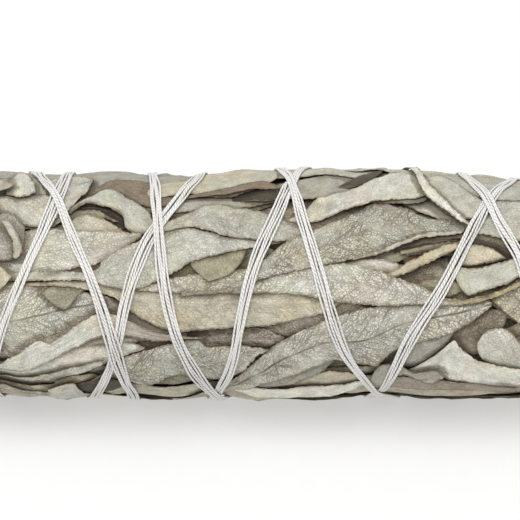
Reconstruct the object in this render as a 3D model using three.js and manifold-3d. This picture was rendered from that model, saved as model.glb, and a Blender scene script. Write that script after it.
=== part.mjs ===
// White sage bundle: leafy sage cuttings laid side by side along X, their leaves pressed over one
// another, a few loose leaves tucked in, and one cotton thread wound up the bundle and back.
// Units are millimetres, Z is up. The cut stems are at -X, the leaf tips at +X, and the bundle lies
// on the plane Z = 0, with the origin below its middle.
//
// Places on the bundle are given as (x, a, r): x along it, a in degrees round it, r from its axis.
// a = 0 is the meridian that looks out and up at FACE_ELEVATION, towards -Y, and a grows downwards.
import * as THREE from 'three';
import { mergeVertices } from 'three/addons/utils/BufferGeometryUtils.js';
import Module from 'manifold-3d';

const AXIS_HEIGHT = 20.6; // of the bundle's axis above the surface that it lies on
const AXIS_Y = 0.2; // sideways place of the axis
const FACE_ELEVATION = 40; // degrees

const STEM_END_X = -99; // cut ends of the stems
const STEM_RADIUS = 2.1;
const STEM_RING_RADIUS = 7.6; // the outer stems stand on this circle round the middle one
const OUTER_SPRIGS = 8; // round one sprig in the middle
const CORE_TIP_X = 86; // the packed stems and inner leaves end here

const BLADE_THICKNESS = 0.6;
const CLEARANCE = 0.36; // between leaves that lie on each other
const STEM_SINK = 1.3; // of a leaf's root in the packed core
const BLADE_SINK = 0.4; // of a leaf's root in a blade below it
const SMALLEST_SCRAP = 5; // mm3

const BAND_WIDTH = 2.5; // of the thread's strands side by side
const BAND_HEIGHT = 0.9;
const BAND_CLEARANCE = 0.34; // over the leaves
const BAND_SINK = 0.3; // of the upper winding in the lower one, where they cross
const BAND_STEPS_PER_TURN = 20;
const THREAD = 'binding_thread';
const THREAD_EDGE = 0.62; // height at the edges of the thread, as a share of the height at its middle

const DEG = Math.PI / 180;
const COLORS = {
  sprigs: [0xa9a693, 0xb0ab98, 0xa39f8a, 0xaaa899, 0xb3ae9d, 0x9f9c86, 0xa8a595, 0xb1ad9a, 0xa5a28f],
  looseLeaf: 0xb7b3a2,
  thread: 0xf3efe4,
};

const wasm = await Module();
wasm.setup();

// ---------------------------------------------------------------- seeded draws

let drawState = 1;
function seedDraws(seed) {
  drawState = seed;
}
function draw(low, high) {
  drawState = (drawState * 16807) % 2147483647;
  return low + (high - low) * (drawState / 2147483647);
}

// ---------------------------------------------------------------- places on the bundle

// Radius of the packed stems and inner leaves along the bundle: [x, radius]. They are pressed
// flatter underneath, below the face, where more leaves lie on them, and at the top.
const CORE_PROFILE = [
  [-100, 9.7], [-78, 10], [-68, 12.2], [-57, 13.9], [-42, 14.4], [-20, 13.7], [5, 12.9],
  [35, 11.9], [52, 10.2], [70, 7.5], [CORE_TIP_X, 5.2], [106, 3.4],
];
const LEAF_LAYER = 5.6; // from the packed core to the leaves that show
const UNDERSIDE_A = 90 + FACE_ELEVATION;
const UNDERSIDE_PRESS = 1.3; // mm
const FACE_PRESS = 3.6; // mm
const TOP_A = FACE_ELEVATION - 90;
const TOP_PRESS = 2; // mm

function coreRadius(x, a = 0) {
  const last = CORE_PROFILE.length - 1;
  const k = CORE_PROFILE.findIndex((p, i) => i === last || x < CORE_PROFILE[i + 1][0]);
  const [x0, r0] = CORE_PROFILE[Math.min(k, last - 1)];
  const [x1, r1] = CORE_PROFILE[Math.min(k, last - 1) + 1];
  const t = THREE.MathUtils.clamp((x - x0) / (x1 - x0), 0, 1);
  const under = Math.max(0, Math.cos((a - UNDERSIDE_A) * DEG)) ** 8;
  const underPress = UNDERSIDE_PRESS * under * THREE.MathUtils.smoothstep(x, -50, -12);
  const heaped = THREE.MathUtils.smoothstep(x, -60, -30) * THREE.MathUtils.smoothstep(-x, -32, 4);
  const facePress = FACE_PRESS * Math.max(0, Math.cos(a * DEG)) * heaped;
  const topPress = TOP_PRESS * Math.max(0, Math.cos((a - TOP_A) * DEG)) ** 2 * heaped;
  return THREE.MathUtils.lerp(r0, r1, t) - underPress - facePress - topPress;
}

// Radius that turns a width on the bundle's surface into an angle round it.
function wrapRadius(x) {
  return coreRadius(x, UNDERSIDE_A + 90) + LEAF_LAYER;
}

// Angle from straight up, growing towards -Y.
function aroundFromTop(a) {
  return (a + 90 - FACE_ELEVATION) * DEG;
}

function toSpace({ x, a, r }) {
  const phi = aroundFromTop(a);
  return new THREE.Vector3(x, AXIS_Y - r * Math.sin(phi), AXIS_HEIGHT + r * Math.cos(phi));
}

function fromSpace(p) {
  const y = AXIS_Y - p.y;
  const z = p.z - AXIS_HEIGHT;
  const a = Math.atan2(y, z) / DEG - 90 + FACE_ELEVATION;
  return { x: p.x, a, r: Math.hypot(y, z) };
}

// ---------------------------------------------------------------- the heap of leaves

// How far out the bundle reaches at each place, and which sprig or loose leaf reaches there.
const CELL_X = 1; // mm
const CELL_A = 3; // degrees
const HEAP_MIN_X = -112;
const HEAP_COLUMNS = 224;
const HEAP_ROWS = 360 / CELL_A;
const heap = {
  reach: new Float64Array(HEAP_COLUMNS * HEAP_ROWS),
  owner: new Array(HEAP_COLUMNS * HEAP_ROWS).fill(''),
};

function heapIndex(column, row) {
  const c = THREE.MathUtils.clamp(column, 0, HEAP_COLUMNS - 1);
  return c * HEAP_ROWS + (((row % HEAP_ROWS) + HEAP_ROWS) % HEAP_ROWS);
}

// The four cells nearest to a place.
function cellsNear(x, a) {
  const column = Math.floor((x - HEAP_MIN_X) / CELL_X - 0.5);
  const row = Math.floor(a / CELL_A - 0.5);
  return [
    heapIndex(column, row), heapIndex(column + 1, row),
    heapIndex(column, row + 1), heapIndex(column + 1, row + 1),
  ];
}

function topCell(x, a) {
  return cellsNear(x, a).reduce((best, i) => (heap.reach[i] > heap.reach[best] ? i : best));
}

function raiseHeap({ x, a, r }, owner) {
  const column = Math.floor((x - HEAP_MIN_X) / CELL_X);
  const i = heapIndex(column, Math.floor(a / CELL_A));
  if (r > heap.reach[i]) {
    heap.reach[i] = r;
    heap.owner[i] = owner;
  }
}

// Points spread over a triangle, each with its weights on the three corners.
function trianglePoints(p, q, s, spacing) {
  const longest = Math.max(p.distanceTo(q), q.distanceTo(s), s.distanceTo(p));
  const n = Math.max(2, Math.ceil(longest / spacing));
  const points = [];
  for (let i = 0; i <= n; i += 1) {
    for (let j = 0; j <= n - i; j += 1) {
      const weights = [1 - (i + j) / n, i / n, j / n];
      const at = new THREE.Vector3();
      at.addScaledVector(p, weights[0]);
      at.addScaledVector(q, weights[1]);
      at.addScaledVector(s, weights[2]);
      points.push({ ...fromSpace(at), weights });
    }
  }
  return points;
}

// The triangles of a sheet of points (x, a, r): rows along it, each with the same number of points
// across, though a pointed end is a row of one.
function sheetTriangles(rows) {
  const triangles = [];
  for (let i = 0; i + 1 < rows.length; i += 1) {
    const near = rows[i];
    const far = rows[i + 1];
    for (let j = 0; j + 1 < near.length; j += 1) {
      const [p, q] = [near[j], near[j + 1]];
      const [s, t] = [far[Math.min(j, far.length - 1)], far[Math.min(j + 1, far.length - 1)]];
      if (s === t) {
        triangles.push([p, q, s]);
      } else if (2 * j < near.length - 1) {
        triangles.push([p, q, t], [p, t, s]);
      } else {
        triangles.push([p, q, s], [q, t, s]);
      }
    }
  }
  return triangles;
}

// Raises the heap to the outer face of a sheet made a slab.
function raiseAlong(rows, thickness, owner) {
  for (const [p, q, s] of sheetTriangles(rows)) {
    for (const point of trianglePoints(toSpace(p), toSpace(q), toSpace(s), RAISE_SPACING)) {
      raiseHeap({ ...point, r: point.r + thickness }, owner);
    }
  }
}

const RAISE_SPACING = 0.45; // mm
const SETTLE_ROUNDS = 70;
const STIFF_ROUNDS = 30; // of these, the first ones in which a leaf also resists bending
const STIFFNESS = 0.16;
const SETTLE_SHARE = 0.5; // of what is missing, added in each round
const SETTLE_SPACING = 0.8;

// Draws each point of a sheet part of the way to the level of the points round it.
function stiffen(rows) {
  const levels = rows.map((row) => row.map((point, j) => {
    const i = rows.indexOf(row);
    const across = (other) => other && other[Math.min(j, other.length - 1)];
    const around = [row[j - 1], row[j + 1], across(rows[i - 1]), across(rows[i + 1])].filter(Boolean);
    const level = around.reduce((sum, other) => sum + other.r, 0) / around.length;
    return THREE.MathUtils.lerp(point.r, level, STIFFNESS);
  }));
  rows.forEach((row, i) => row.forEach((point, j) => {
    if (!point.fixed) point.r = levels[i][j];
  }));
}

// Moves the points of a sheet outwards until no triangle of it is nearer than needed() asks, and
// returns how short it still is.
function settle(rows, needed, stiffRounds = STIFF_ROUNDS) {
  const triangles = sheetTriangles(rows);
  let worst = 0;
  for (let round = 0; round < SETTLE_ROUNDS; round += 1) {
    const lift = new Map();
    worst = 0;
    if (round < stiffRounds) stiffen(rows);
    for (const corners of triangles) {
      const [p, q, s] = corners.map(toSpace);
      for (const point of trianglePoints(p, q, s, SETTLE_SPACING)) {
        const short = needed(point) - point.r;
        if (short <= 0.004) continue;
        worst = Math.max(worst, short);
        const held = corners.reduce((sum, corner, k) => sum + (corner.fixed ? point.weights[k] : 0), 0);
        if (held > 0.4 && short > 0.05) return short;
        const square = point.weights.reduce((sum, w) => sum + w * w, 0);
        corners.forEach((corner, k) => {
          const share = (short * point.weights[k]) / square;
          lift.set(corner, Math.max(lift.get(corner) ?? 0, share));
        });
      }
    }
    for (const [corner, by] of lift) {
      if (!corner.fixed) corner.r += by * SETTLE_SHARE;
    }
    if (lift.size === 0) break;
  }
  return worst;
}

// ---------------------------------------------------------------- closed bodies

// Triangles of Vector3 corners, alike in their turn, joined into one body with its faces out.
function solidFromTriangles(triangles) {
  const volume = triangles.reduce((sum, [p, q, s]) => sum + p.dot(q.clone().cross(s)), 0);
  const positions = [];
  for (const [p, q, s] of triangles) {
    for (const corner of volume > 0 ? [p, q, s] : [p, s, q]) {
      positions.push(corner.x, corner.y, corner.z);
    }
  }
  const geometry = new THREE.BufferGeometry();
  geometry.setAttribute('position', new THREE.Float32BufferAttribute(positions, 3));
  const merged = mergeVertices(geometry, 1e-4);
  return new wasm.Manifold(new wasm.Mesh({
    numProp: 3,
    vertProperties: new Float32Array(merged.attributes.position.array),
    triVerts: new Uint32Array(merged.index.array),
  }));
}

// A sheet made a slab: the sheet is its inner face, and its outer face stands off by thickness,
// times each point's fullness. Both faces have the same triangles.
function slab(rows, thickness) {
  const inner = new Map();
  const outer = new Map();
  for (const point of rows.flat()) {
    inner.set(point, toSpace(point));
    outer.set(point, toSpace({ ...point, r: point.r + thickness * (point.fullness ?? 1) }));
  }
  const triangles = [];
  for (const [p, q, s] of sheetTriangles(rows)) {
    triangles.push([inner.get(p), inner.get(s), inner.get(q)]);
    triangles.push([outer.get(p), outer.get(q), outer.get(s)]);
  }
  const left = rows.map((row) => row[0]);
  const right = rows.map((row) => row[row.length - 1]).reverse();
  const far = rows[rows.length - 1];
  const rim = [...left.slice(0, -1), ...far, ...right.slice(1), ...rows[0].slice(1, -1).reverse()];
  rim.forEach((point, i) => {
    const next = rim[(i + 1) % rim.length];
    triangles.push([inner.get(point), outer.get(next), inner.get(next)]);
    triangles.push([inner.get(point), outer.get(point), outer.get(next)]);
  });
  return solidFromTriangles(triangles);
}

// A body through closed rings of Vector3 points, with flat ends.
function loft(rings) {
  const triangles = [];
  for (let i = 0; i + 1 < rings.length; i += 1) {
    rings[i].forEach((p, j) => {
      const k = (j + 1) % rings[i].length;
      triangles.push([p, rings[i][k], rings[i + 1][j]]);
      triangles.push([rings[i][k], rings[i + 1][k], rings[i + 1][j]]);
    });
  }
  const cap = (ring) => ring.slice(2).map((p, i) => [ring[0], p, ring[i + 1]]);
  const far = rings[rings.length - 1];
  return solidFromTriangles([...triangles, ...cap(rings[0]), ...cap([...far].reverse())]);
}

// ---------------------------------------------------------------- sprigs

// The solids of each node, by name, before they are joined.
const pieces = new Map();
function addPiece(name, solid) {
  if (!pieces.has(name)) pieces.set(name, []);
  pieces.get(name).push(solid);
}

const SECTOR = 360 / OUTER_SPRIGS;
const SECTOR_GAP = 0.42; // between the packed cores of neighbouring sprigs
const MIDDLE_RADIUS = 5.4; // of the middle sprig's core
const CORE_STATIONS = [-76, -66, -56, -25, 10, 42, 60, 74, CORE_TIP_X];
// Corners of a sprig's core: [share of the sector's half width, share from inner to outer radius],
// with the direction of the same corner on the round stem.
const CORE_CORNERS = [
  { side: -1, out: 1, turn: -62 }, { side: -0.34, out: 1, turn: -21 },
  { side: 0.34, out: 1, turn: 21 }, { side: 1, out: 1, turn: 62 },
  { side: 1, out: 0.45, turn: 104 }, { side: 1, out: 0, turn: 152 },
  { side: -1, out: 0, turn: -152 }, { side: -1, out: 0.45, turn: -104 },
];

function stemRing(x, centreA, ringRadius) {
  const centre = toSpace({ x, a: centreA, r: ringRadius });
  const outward = aroundFromTop(centreA);
  return CORE_CORNERS.map(({ turn }) => {
    const angle = outward + turn * DEG;
    return new THREE.Vector3(
      x, centre.y - STEM_RADIUS * Math.sin(angle), centre.z + STEM_RADIUS * Math.cos(angle),
    );
  });
}

function sectorRing(x, centreA) {
  const innerRadius = Math.min(MIDDLE_RADIUS + 0.9, coreRadius(x) * 0.62);
  return CORE_CORNERS.map(({ side, out }) => {
    const r = THREE.MathUtils.lerp(innerRadius, coreRadius(x, centreA + (side * SECTOR) / 2), out);
    const half = SECTOR / 2 - Math.asin(SECTOR_GAP / 2 / r) / DEG;
    return toSpace({ x, a: centreA + side * half, r });
  });
}

function sprigName(index) {
  return `sage_sprig_${index + 1}`;
}

for (let k = 0; k < OUTER_SPRIGS; k += 1) {
  const a = k * SECTOR;
  const stemEnd = STEM_END_X + draw(-0.8, 3.5);
  addPiece(sprigName(k), loft([
    stemRing(stemEnd, a, STEM_RING_RADIUS), stemRing(-84, a, STEM_RING_RADIUS),
    ...CORE_STATIONS.map((x) => sectorRing(x, a)),
  ]));
  for (let x = HEAP_MIN_X; x < HEAP_MIN_X + HEAP_COLUMNS; x += CELL_X / 2) {
    for (let side = -SECTOR / 2; side < SECTOR / 2; side += CELL_A / 2) {
      raiseHeap({ x, a: a + side, r: coreRadius(x, a + side) }, sprigName(k));
    }
  }
}

// The middle sprig: a round core on its own stem, whose leaves close the tip of the bundle.
const MIDDLE_SPRIG = sprigName(OUTER_SPRIGS);
function roundRing(x, radius) {
  return CORE_CORNERS.map((_, i) => toSpace({ x, a: (i * 360) / CORE_CORNERS.length, r: radius }));
}
addPiece(MIDDLE_SPRIG, loft([
  roundRing(STEM_END_X + 1, STEM_RADIUS), roundRing(-82, STEM_RADIUS), roundRing(-70, 4.6),
  roundRing(-50, MIDDLE_RADIUS), roundRing(42, MIDDLE_RADIUS), roundRing(58, 4.2),
  roundRing(70, 3.4), roundRing(CORE_TIP_X - 4, 2.4), roundRing(CORE_TIP_X + 5, 2),
]));

// ---------------------------------------------------------------- leaves

// A blade from its stalk to its tip: [share of the length, share of the width].
const OUTLINE = [[0, 0.17], [0.13, 0.24], [0.33, 0.84], [0.58, 1], [0.82, 0.66], [1, 0]];
const RIM_WAVE = 0.2; // mm
const ROOT_ZONE = 5.5; // mm from a root, where its leaf may be inside what it grows from
const ROOT_STEP = 1.6; // by which a root that finds no hold moves back along its leaf
const ROOT_ATTEMPTS = 9;
const LEAST_BITE = 0.3; // mm3 of a root inside what it grows from
const SETTLED = 0.02; // mm short of clear

// Place on the curve through a leaf's root, middle and tip.
function along(path, u) {
  const weights = [(1 - u) * (1 - 2 * u), 4 * u * (1 - u), u * (2 * u - 1)];
  const x = path.reduce((sum, p, i) => sum + p[0] * weights[i], 0);
  const a = path.reduce((sum, p, i) => sum + p[1] * weights[i], 0);
  return { x, a };
}

// Rows of points across a leaf, lying on nothing yet.
function leafRows({ path, width }) {
  return OUTLINE.map(([u, share]) => {
    const here = along(path, u);
    const ahead = along(path, u + 0.02);
    const turnRadius = wrapRadius(here.x) * DEG;
    const forward = new THREE.Vector2(ahead.x - here.x, (ahead.a - here.a) * turnRadius).normalize();
    const sides = share === 0 ? [0] : [-1, 0, 1];
    return sides.map((side) => {
      const offset = (side * share * width) / 2;
      return {
        x: here.x - forward.y * offset,
        a: here.a + (forward.x * offset) / turnRadius,
        r: 0,
      };
    });
  });
}

// Rows of a leaf settled on the heap, its root moved back along it by a distance, with the node that
// it grows from, how short of clear it stays and how much of it is inside that node.
function tryLeaf(leaf, back) {
  const share = back / (leaf.path[2][0] - leaf.path[0][0]);
  const root = along(leaf.path, -share);
  const rows = leafRows({ ...leaf, path: [[root.x, root.a], leaf.path[1], leaf.path[2]] });
  const rootCell = topCell(root.x, root.a);
  const owner = leaf.loose ?? heap.owner[rootCell];
  if (!leaf.loose) {
    const onCore = heap.reach[rootCell] < coreRadius(root.x, root.a) + 0.15;
    const cells = cellsNear(root.x, root.a).filter((i) => heap.owner[i] === owner);
    const reach = cells.reduce((sum, i) => sum + heap.reach[i], 0) / cells.length;
    for (const point of rows[0]) {
      point.r = reach - (onCore ? STEM_SINK : BLADE_SINK);
      point.fixed = true;
    }
  }
  const needed = ({ x, a }) => {
    const arc = (((a - root.a + 540) % 360) - 180) * wrapRadius(x) * DEG;
    const nearRoot = !leaf.loose && Math.hypot(x - root.x, arc) < ROOT_ZONE;
    return cellsNear(x, a).reduce((most, i) => {
      const inside = nearRoot && heap.owner[i] === owner;
      return Math.max(most, inside ? 0 : heap.reach[i] + CLEARANCE);
    }, 0);
  };
  const free = rows.flat().filter((point) => !point.fixed);
  for (const point of free) point.r = needed(point) || coreRadius(point.x);
  const short = settle(rows, needed);
  const solid = slab(rows, BLADE_THICKNESS);
  const grownFrom = leaf.loose ? [] : pieces.get(owner);
  const bite = grownFrom.reduce((sum, other) => sum + other.intersect(solid).volume(), 0);
  return { rows, owner, short, bite };
}

// Lays a leaf on the heap. A rooted leaf starts sunk in the sprig below its root and joins it; a
// loose leaf is a node of its own.
function layLeaf(leaf) {
  const worth = ({ short, bite }) => (short < SETTLED ? bite : -short);
  let best = tryLeaf(leaf, 0);
  for (let attempt = 1; attempt < ROOT_ATTEMPTS && !leaf.loose && worth(best) < LEAST_BITE; attempt += 1) {
    const other = tryLeaf(leaf, attempt * ROOT_STEP);
    if (worth(other) > worth(best)) best = other;
  }
  const { rows, owner } = best;
  rows.slice(1).forEach((row) => {
    for (const point of row) point.r += draw(0, RIM_WAVE);
  });
  addPiece(owner, slab(rows, BLADE_THICKNESS));
  raiseAlong(rows, BLADE_THICKNESS, owner);
}

// Leaves all round the bundle, stalks towards -X, laid from the tip backwards like roof tiles. The
// middle of the face has none of them: FACE_LEAVES lie there.
const LEAF_SPACING = 15; // along a sprig
const FIRST_ROOT_X = 66;
const LAST_ROOT_X = -64;
const FACE_END_X = 45;

// A few that lie the other way, tips towards -X, low in the heap: root, middle, tip, width.
const LOW_FACE_LEAVES = [
  [[80, 8], [56, 8], [41, 7], 10], [[74, 16], [55, 26], [38.5, 36], 8],
  [[40, -74], [20, -66], [2, -62], 9], [[24, -92], [6, -88], [-9.7, -84], 5],
];

function growSprigLeaves() {
  seedDraws(4127);
  const leaves = LOW_FACE_LEAVES.map(([root, middle, tip, width]) => ({
    path: [root, middle, tip], width,
  }));
  for (let k = 0; k < OUTER_SPRIGS; k += 1) {
    const sprigA = k > OUTER_SPRIGS / 2 ? (k - OUTER_SPRIGS) * SECTOR : k * SECTOR;
    let turn = 1;
    for (let x = FIRST_ROOT_X - draw(0, 8); x > LAST_ROOT_X; x -= LEAF_SPACING * draw(0.85, 1.15)) {
      turn = -turn;
      const onFace = Math.abs(sprigA) < 100 && x < FACE_END_X;
      const besideFace = Math.abs(sprigA) === 90 && onFace;
      const rootA = besideFace ? sprigA + Math.sign(sprigA) * draw(10, 14) : sprigA + turn * draw(3, 9);
      const tipX = Math.min(x + draw(42, 52), draw(84, 97));
      const tipA = rootA + (besideFace ? Math.sign(sprigA) : turn) * draw(2, 14);
      const middle = [(x + tipX) / 2, (rootA + tipA) / 2 + draw(-4, 4)];
      const leaf = { path: [[x, rootA], middle, [tipX, tipA]], width: draw(10, 12.5) };
      if (!onFace || besideFace) leaves.push(leaf);
    }
  }
  leaves.sort((p, q) => q.path[0][0] - p.path[0][0]);
  leaves.forEach(layLeaf);
}

// The middle sprig's own leaves, which close the tip of the bundle.
function growTipLeaves() {
  seedDraws(977);
  for (let i = 0; i < 5; i += 1) {
    const a = i * 72 + draw(-10, 10);
    addPiece(MIDDLE_SPRIG, slab(leafRows({
      path: [[CORE_TIP_X - 2, a], [93, a + 10], [100 - i, a + 25]], width: 7,
    }).map((row, j) => row.map((point) => ({ ...point, r: 1.0 + 0.3 * j }))), BLADE_THICKNESS));
  }
}

// Short leaves round the base that cover the roots of the longer ones.
const COLLAR_LEAVES = 12;
const COLLAR_X = -73;

function growCollar() {
  seedDraws(6163);
  const leaves = [];
  for (let i = 0; i < COLLAR_LEAVES; i += 1) {
    const a = i * (360 / COLLAR_LEAVES) + draw(-5, 5);
    const x = COLLAR_X + draw(-1.5, 1.5);
    const length = draw(22, 30);
    const middle = [x + length / 2, a + draw(-5, 5)];
    leaves.push({ path: [[x, a], middle, [x + length, a + draw(-12, 12)]], width: draw(9, 12) });
  }
  leaves.forEach(layLeaf);
}

// The leaves that show on the face, from the lowest to the uppermost, each placed by hand:
// [x, a] of its root, of its middle and of its tip, its width, and LOOSE if the thread alone holds it.
const LOOSE = true;
const FACE_LEAVES = [
  [[20, -50], [44, -38], [68, -30], 9.5], [[22, 42], [34, 30], [44, 13], 8],
  [[8, -30], [28, -20], [44.5, -17], 6.5], [[8, -11], [24, -5], [38, 1], 4],
  [[6, -60], [26, -70], [44, -55], 9], [[0, -6], [22, -15], [38, -22], 4.5],
  [[-4, -12], [18, -20], [38, -27], 5.5], [[16, -2], [27, -12], [40, -24], 2.8],
  [[-4, 52], [18, 44], [34.5, 22.5], 7], [[0, 84], [25, 74], [47, 64], 8.5],
  [[-10, -88], [8, -82], [22, -75], 8.5], [[-38, 82], [-8, 69], [20, 57], 9],
  [[-6, 62], [26, 46], [58, 52], 10], [[-22, 80], [0, 62], [16, 45], 6],
  [[-16, 74], [12, 31], [41, 7.5], 12], [[-60, -76], [-36, -70], [-13, -60], 8],
  [[-56, -32], [-38, -37], [-22.5, -30], 6.5], [[-58, -46], [-38, -50], [-19, -38], 8.5],
  [[-68, -60], [-48, -66], [-30, -66], 11], [[-70, 54], [-48, 57], [-27, 50], 7],
  [[-68, 42], [-44, 42], [-24, 34], 7.5], [[-72, 86], [-54, 78], [-38, 68], 8],
  [[-64, 78], [-45, 72], [-28.5, 66], 7.5], [[-46, 50], [-22, 46], [1, 38], 9.5],
  [[-72, 14], [-46, 13], [-26, 10], 10],
  [[-16, 16], [-31, 28], [-46.5, 57], 6.5, LOOSE], [[-22, -8], [-30, 0], [-39, 4.5], 5.5, LOOSE],
  [[-42, 2], [-14, 12], [14.5, 9.5], 8.4], [[48, -4], [8, -2], [-22, 1], 8, LOOSE],
  [[-74, -8], [-45, -20], [-19.5, -29], 10.5], [[-72, -72], [-55, -68], [-40.5, -62], 9],
  [[-74, -48], [-56, -46], [-38, -48], 9], [[-78, -30], [-60, -28], [-42, -27], 10],
  [[-45, -6], [-18, -20.5], [5.5, -26.5], 9.4], [[-36, -30], [-12, -38], [9, -37], 7.8],
  [[-40, -51], [-16, -54], [4, -52], 7], [[-42, -80], [-16, -76], [3, -72], 7.5],
  [[-14, 2], [11.5, -23.5], [36.5, -34.5], 10.8, LOOSE], [[-20, -52], [6, -60], [30.5, -63], 10],
  [[33, -3], [52, -14], [73, -24], 6.5, LOOSE], [[26, -84], [31, -58], [36, -38], 4, LOOSE],
];

function layFace() {
  seedDraws(733);
  let looseLeaves = 0;
  for (const [root, middle, tip, width, isLoose] of FACE_LEAVES) {
    if (isLoose) looseLeaves += 1;
    const loose = isLoose ? `loose_leaf_${looseLeaves}` : undefined;
    layLeaf({ path: [root, middle, tip], width, loose });
  }
}

growSprigLeaves();
layFace();
growCollar();
growTipLeaves();

// ---------------------------------------------------------------- thread

// Route of the winding that goes up the bundle: [a, x], a falling by a turn as it winds round.
const WINDING_UP = [
  [90, -82], [-90, -76], [-270, -66], [-450, -58], [-630, -50], [-690, -46.8], [-732, -41.4],
  [-765, -36.9], [-810, -33], [-990, -29.5], [-1047, -25.6], [-1074, -23.8], [-1103, -20.2],
  [-1143, -12.6], [-1170, -10.5], [-1350, -8.5], [-1397, -5], [-1444, -1.8], [-1493, 4.5],
  [-1530, 8], [-1710, 20], [-1768, 26.1], [-1804, 33.3], [-1843, 39.6], [-1890, 45.5],
  [-2070, 56], [-2250, 66], [-2430, 75], [-2560, 79],
];
// And of the winding that comes back over it and closes the base.
const WINDING_BACK = [
  [-2540, 79.5], [-2610, 78], [-2790, 70], [-2970, 62], [-3150, 55], [-3251, 46.8], [-3279, 42.3],
  [-3306, 39.2], [-3330, 36.5], [-3510, 23.5], [-3566, 14.8], [-3608, 10.4], [-3642, 7.2],
  [-3683, 4.1], [-3870, -6], [-3899, -10.3], [-3943, -15.8], [-3974, -17.6], [-4029, -18.9],
  [-4230, -22.5], [-4281, -25.6], [-4314, -28.8], [-4359, -34.2], [-4410, -39.6], [-4590, -47],
  [-4770, -57], [-4950, -66], [-5130, -74], [-5310, -77.2], [-5670, -80], [-6030, -82.8],
];

function routePoint(route, angle) {
  const k = THREE.MathUtils.clamp(route.findIndex((p) => p[0] <= angle), 1, route.length - 1);
  const slope = (i) => {
    const [before, after] = [route[Math.max(i - 1, 0)], route[Math.min(i + 1, route.length - 1)]];
    return (after[1] - before[1]) / (after[0] - before[0]);
  };
  const [a0, x0] = route[k - 1];
  const [a1, x1] = route[k];
  const t = (angle - a0) / (a1 - a0);
  const span = a1 - a0;
  return (2 * t ** 3 - 3 * t ** 2 + 1) * x0 + (t ** 3 - 2 * t ** 2 + t) * slope(k - 1) * span
    + (3 * t ** 2 - 2 * t ** 3) * x1 + (t ** 3 - t ** 2) * slope(k) * span;
}

// The bundle rests on the windings below its middle, over this length and this far to either side.
const RESTING_FROM_X = -50;
const RESTING_TO_X = 30;
const RESTING_ANGLE = 16;
function restingLevel({ x, a }) {
  const fromUnder = THREE.MathUtils.euclideanModulo(a - UNDERSIDE_A + 180, 360) - 180;
  const rests = x > RESTING_FROM_X && x < RESTING_TO_X && Math.abs(fromUnder) < RESTING_ANGLE;
  return rests ? AXIS_HEIGHT / Math.cos(fromUnder * DEG) - BAND_HEIGHT : 0;
}

// How far out the thread lies at a place: clear of the leaves, but sunk in its own lower windings.
function threadLevel({ x, a }) {
  return cellsNear(x, a).reduce((most, i) => {
    const over = heap.owner[i] === THREAD ? -BAND_SINK : BAND_CLEARANCE;
    return Math.max(most, heap.reach[i] + over);
  }, 0);
}

function addThread(rows, height) {
  settle(rows, threadLevel, 0);
  addPiece(THREAD, slab(rows, height));
  raiseAlong(rows, height * THREAD_EDGE, THREAD);
}

// A winding drawn tight: it touches what stands out and runs straight over what doesn't.
const TAUT_ROUNDS = 60;
function windThread(route) {
  const step = 360 / BAND_STEPS_PER_TURN;
  const [start, end] = [route[0][0], route[route.length - 1][0]];
  const count = Math.round((start - end) / step);
  const rows = [];
  for (let i = 0; i <= count; i += 1) {
    const angle = THREE.MathUtils.lerp(start, end, i / count);
    const x = routePoint(route, angle);
    const slope = routePoint(route, angle - 1) - routePoint(route, angle + 1);
    const forward = new THREE.Vector2(slope, -2 * wrapRadius(x) * DEG).normalize();
    rows.push([-1, 0, 1].map((side) => ({
      x: x - (forward.y * side * BAND_WIDTH) / 2,
      a: angle + (forward.x * side * BAND_WIDTH) / 2 / (wrapRadius(x) * DEG),
      fullness: side === 0 ? 1 : THREAD_EDGE,
    })));
  }
  const lowest = rows.map((row) => Math.max(restingLevel(row[1]), ...row.map(threadLevel)));
  const taut = lowest.map((r) => r + 3);
  for (let round = 0; round < TAUT_ROUNDS; round += 1) {
    for (let i = 1; i < taut.length - 1; i += 1) {
      const [p, q] = [taut[i - 1], taut[i + 1]];
      taut[i] = Math.max(lowest[i], (2 * p * q * Math.cos(step * DEG)) / (p + q));
    }
    taut[0] = lowest[0];
    taut[taut.length - 1] = lowest[taut.length - 1];
  }
  rows.forEach((row, i) => {
    for (const point of row) point.r = taut[i];
  });
  addThread(rows, BAND_HEIGHT);
}
windThread(WINDING_UP);
windThread(WINDING_BACK);

// The knot over the first and last windings at the base, and its two cut tails.
const KNOT = { x: -81.6, a: 90, size: 4.4, height: 2.2 };
const TAILS = [
  [[-81.6, 90], [-85.5, 84], [-89, 77], [-93, 72]], [[-81.6, 90], [-86, 97], [-89.5, 104], [-92.5, 112]],
];
const TAIL_WIDTH = 1.3;
const TAIL_HEIGHT = 0.7;

function tieKnot() {
  const turnRadius = wrapRadius(KNOT.x) * DEG;
  const shares = [-1, -0.5, 0, 0.5, 1];
  addThread(shares.map((u) => shares.map((v) => ({
    x: KNOT.x + (u * KNOT.size * (1 - 0.25 * v * v)) / 2,
    a: KNOT.a + (v * KNOT.size * (1 - 0.25 * u * u)) / 2 / turnRadius,
    r: 0,
    fullness: 1 - 0.36 * (u * u + v * v),
  }))), KNOT.height);
  for (const tail of TAILS) {
    addThread(tail.map(([x, a], i) => {
      const [before, after] = [tail[Math.max(i - 1, 0)], tail[Math.min(i + 1, tail.length - 1)]];
      const forward = new THREE.Vector2(after[0] - before[0], (after[1] - before[1]) * turnRadius);
      forward.normalize();
      return [-1, 0, 1].map((side) => ({
        x: x - (forward.y * side * TAIL_WIDTH) / 2,
        a: a + (forward.x * side * TAIL_WIDTH) / 2 / turnRadius,
        r: 0,
        fullness: side === 0 ? 1 : THREAD_EDGE,
      }));
    }), TAIL_HEIGHT);
  }
}
tieKnot();

// ---------------------------------------------------------------- the parts of the bundle

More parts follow.
